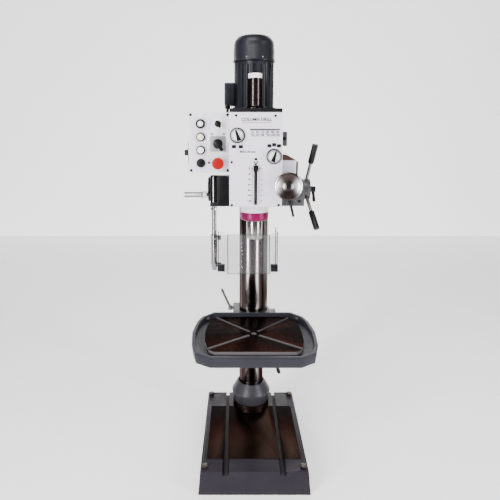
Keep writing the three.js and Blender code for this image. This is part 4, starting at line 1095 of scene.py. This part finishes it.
@dataclass
class HeadFittings:
    """The sensor block, switch box, collar and caps on the head.

    Args:
        shop: The workshop.
        sensor_x: Right side of the sensor block.
        sensor_y: Its front and back.
        sensor_z: Its lower and upper faces.
        eye: Radius and thickness of the sensor's eye.
        wheel: Middle of the fine-feed wheel, across and up.
        cap: Radius and thickness of the cap on it.
        lid_right: Right end of the brown lid.
        lid_middle: The lid's middle, back and up.
        lid_size: Its depth and height.
        lid_top: Where its sloping top ends on the right.
        collar: Radius and length of the quill lock's collar.
        gearbox_screws: Heights of the gearbox's screws.
    """

    shop: Workshop
    sensor_x: float = 0.121
    sensor_y: Span = (-0.392, -0.345)
    sensor_z: Span = (1.376, 1.43)
    eye: Span = (0.007, 0.003)
    wheel: Span = (0.118, 1.232)
    cap: Span = (0.009, 0.003)
    lid_right: float = 0.1585
    lid_middle: Span = (-0.361, 1.333)
    lid_size: Span = (0.064, 0.022)
    lid_top: float = 0.12
    collar: Span = (0.0142, 0.016)
    gearbox_screws: Span = (1.17, 1.232)

    def build(self) -> None:
        """Makes the head's fittings."""
        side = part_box("head_casting")[1].x
        near = (side + 0.0004, self.sensor_y[0], self.sensor_z[0])
        far = (self.sensor_x, self.sensor_y[1], self.sensor_z[1])
        self.shop.block("sensor_block", near, far, Look.GREY, width=0.002)
        at = (0.109, self.sensor_y[0] - 0.0005, 1.404)
        self.shop.round("sensor_eye", at, self.eye, Axis.Y, Look.BLACK)
        self.lid(side + 0.0006)
        at = (self.wheel[0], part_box("fine_feed_wheel")[0].y - 0.0006, self.wheel[1])
        self.shop.round("wheel_cap", at, self.cap, Axis.Y, Look.BLACK, "fine_wheel")
        near, far = (0.1583, -0.3935, 1.262), (0.1635, -0.34, 1.318)
        self.shop.block("switch_side", near, far, Look.BLACK, width=0.0008)
        at = (-0.196, -0.34, 1.184)
        self.shop.round("lock_collar", at, self.collar, Axis.X, Look.LABEL, "quill_lock")
        for i, z in enumerate(self.gearbox_screws):
            self.shop.screw(f"gearbox_screw_{i}", (0.165, -0.4365, z), 0.005)

    def lid(self, left: float) -> None:
        """Lays a sloping brown lid over the switch box, from its left edge."""
        y, z = self.lid_middle
        bpy.ops.object.select_all(action="DESELECT")
        bpy.ops.mesh.primitive_cube_add(
            size=1,
            location=((left + self.lid_right) / 2, y, z),
            scale=(self.lid_right - left, *self.lid_size),
        )
        bpy.ops.object.transform_apply(location=True, rotation=True, scale=True)
        for corner in bpy.context.object.data.vertices:
            if corner.co.z > z and corner.co.x > self.lid_top:
                corner.co.x = self.lid_top
        self.shop.mount(self.shop.finish(Look.RUST, 0.001), "switch_lid", FRAME_BODY)


@dataclass(frozen=True)
class Lamp:
    """A soft light.

    Args:
        name: Its name.
        at: Where it hangs.
        size: Its width and height.
        power: Its power in watts.
    """

    name: str
    at: Point
    size: Span
    power: float

    def build(self) -> None:
        """Hangs the lamp and turns it to the machine."""
        data = bpy.data.lights.new(self.name, "AREA")
        data.shape = "RECTANGLE"
        data.energy = self.power
        data.size, data.size_y = self.size
        target = Vector((0, -0.2, self.at[2] * 0.6 + 0.35))
        lamp = bpy.data.objects.new(self.name, data)
        lamp.location = self.at
        lamp.rotation_euler = (target - Vector(self.at)).to_track_quat("-Z", "Y").to_euler()
        bpy.context.scene.collection.objects.link(lamp)


@dataclass
class Studio:
    """Camera, lights and the plain pale surround.

    Args:
        eye: Where the camera stands.
        tilt: Its angle from straight down, in degrees.
        sensor: The sensor's width in millimetres.
        lens: The focal length in millimetres.
        shift: How far the picture is shifted, as a share of its width.
        surround: Colour of the dim light from all round.
        strength: Its strength.
        lamps: The soft lights.
    """

    eye: Point = (-0.071, -2.23, 1.408)
    tilt: float = 82.0
    sensor: float = 36.0
    lens: float = 34.56
    shift: Span = (0.0268, -0.0899)
    surround: Colour = (1.0, 0.97, 0.96)
    strength: float = 0.2
    lamps: tuple[Lamp, ...] = (
        Lamp("key_strip", (-1.8, -2.5, 1.5), (0.34, 2.8), 150.0),
        Lamp("fill_strip", (2.45, -1.9, 1.4), (0.4, 2.8), 110.0),
        Lamp("top", (-0.4, -1.4, 3.3), (1.6, 1.2), 70.0),
        Lamp("back", (0.4, 2.2, 3.0), (1.6, 1.6), 30.0),
    )

    def camera(self) -> None:
        """Sets up the camera."""
        data = bpy.data.cameras.new("camera")
        data.sensor_width = self.sensor
        data.lens = self.lens
        data.shift_x, data.shift_y = self.shift
        camera = bpy.data.objects.new("camera", data)
        camera.location = self.eye
        camera.rotation_euler = (math.radians(self.tilt), 0, 0)
        bpy.context.scene.collection.objects.link(camera)
        bpy.context.scene.camera = camera

    def light(self) -> None:
        """Places the floor, the backdrop, a dim surround and the soft lights."""
        self.sheet("floor", (0, 0, -0.0005), (0, 0, 0), 16.0, 0.6)
        self.sheet("backdrop", (0, 4.6, 2.0), (math.pi / 2, 0, 0), 11.0, 1.3)
        world = bpy.data.worlds.new("surround")
        world.use_nodes = True
        background = world.node_tree.nodes["Background"]
        background.inputs["Color"].default_value = (*self.surround, 1.0)
        background.inputs["Strength"].default_value = self.strength
        bpy.context.scene.world = world
        for lamp in self.lamps:
            lamp.build()

    @staticmethod
    def sheet(name: str, at: Point, turn: Point, size: float, glow: float) -> None:
        """Lays out a plain pale sheet of the studio.

        Args:
            name: The sheet's name.
            at: Its middle.
            turn: Its rotation.
            size: Its width in metres.
            glow: How brightly it is lit from within.
        """
        bpy.ops.object.select_all(action="DESELECT")
        bpy.ops.mesh.primitive_plane_add(size=size, location=at, rotation=turn)
        obj = bpy.context.object
        obj.name = name
        pale = Finish(f"{name}_white", (0.9, 0.9, 0.9), (0.88, 0.88, 0.88), 0.6, bump=0.0).build()
        surface = pale.node_tree.nodes["Principled BSDF"]
        surface.inputs["Emission Color"].default_value = (1.0, 1.0, 1.0, 1.0)
        surface.inputs["Emission Strength"].default_value = glow
        obj.data.materials.append(pale)


def main() -> None:
    """Builds the whole picture."""
    logging.basicConfig(level=logging.INFO)
    studio = Studio()
    studio.camera()
    shop = Workshop()
    for part in (CastParts, FrontPanel, ControlBox, Rack, Guard, MotorFittings, HeadFittings):
        part(shop).build()
        LOG.info("finished %s", part.__name__)
    studio.light()


if __name__ == "__main__":
    main()
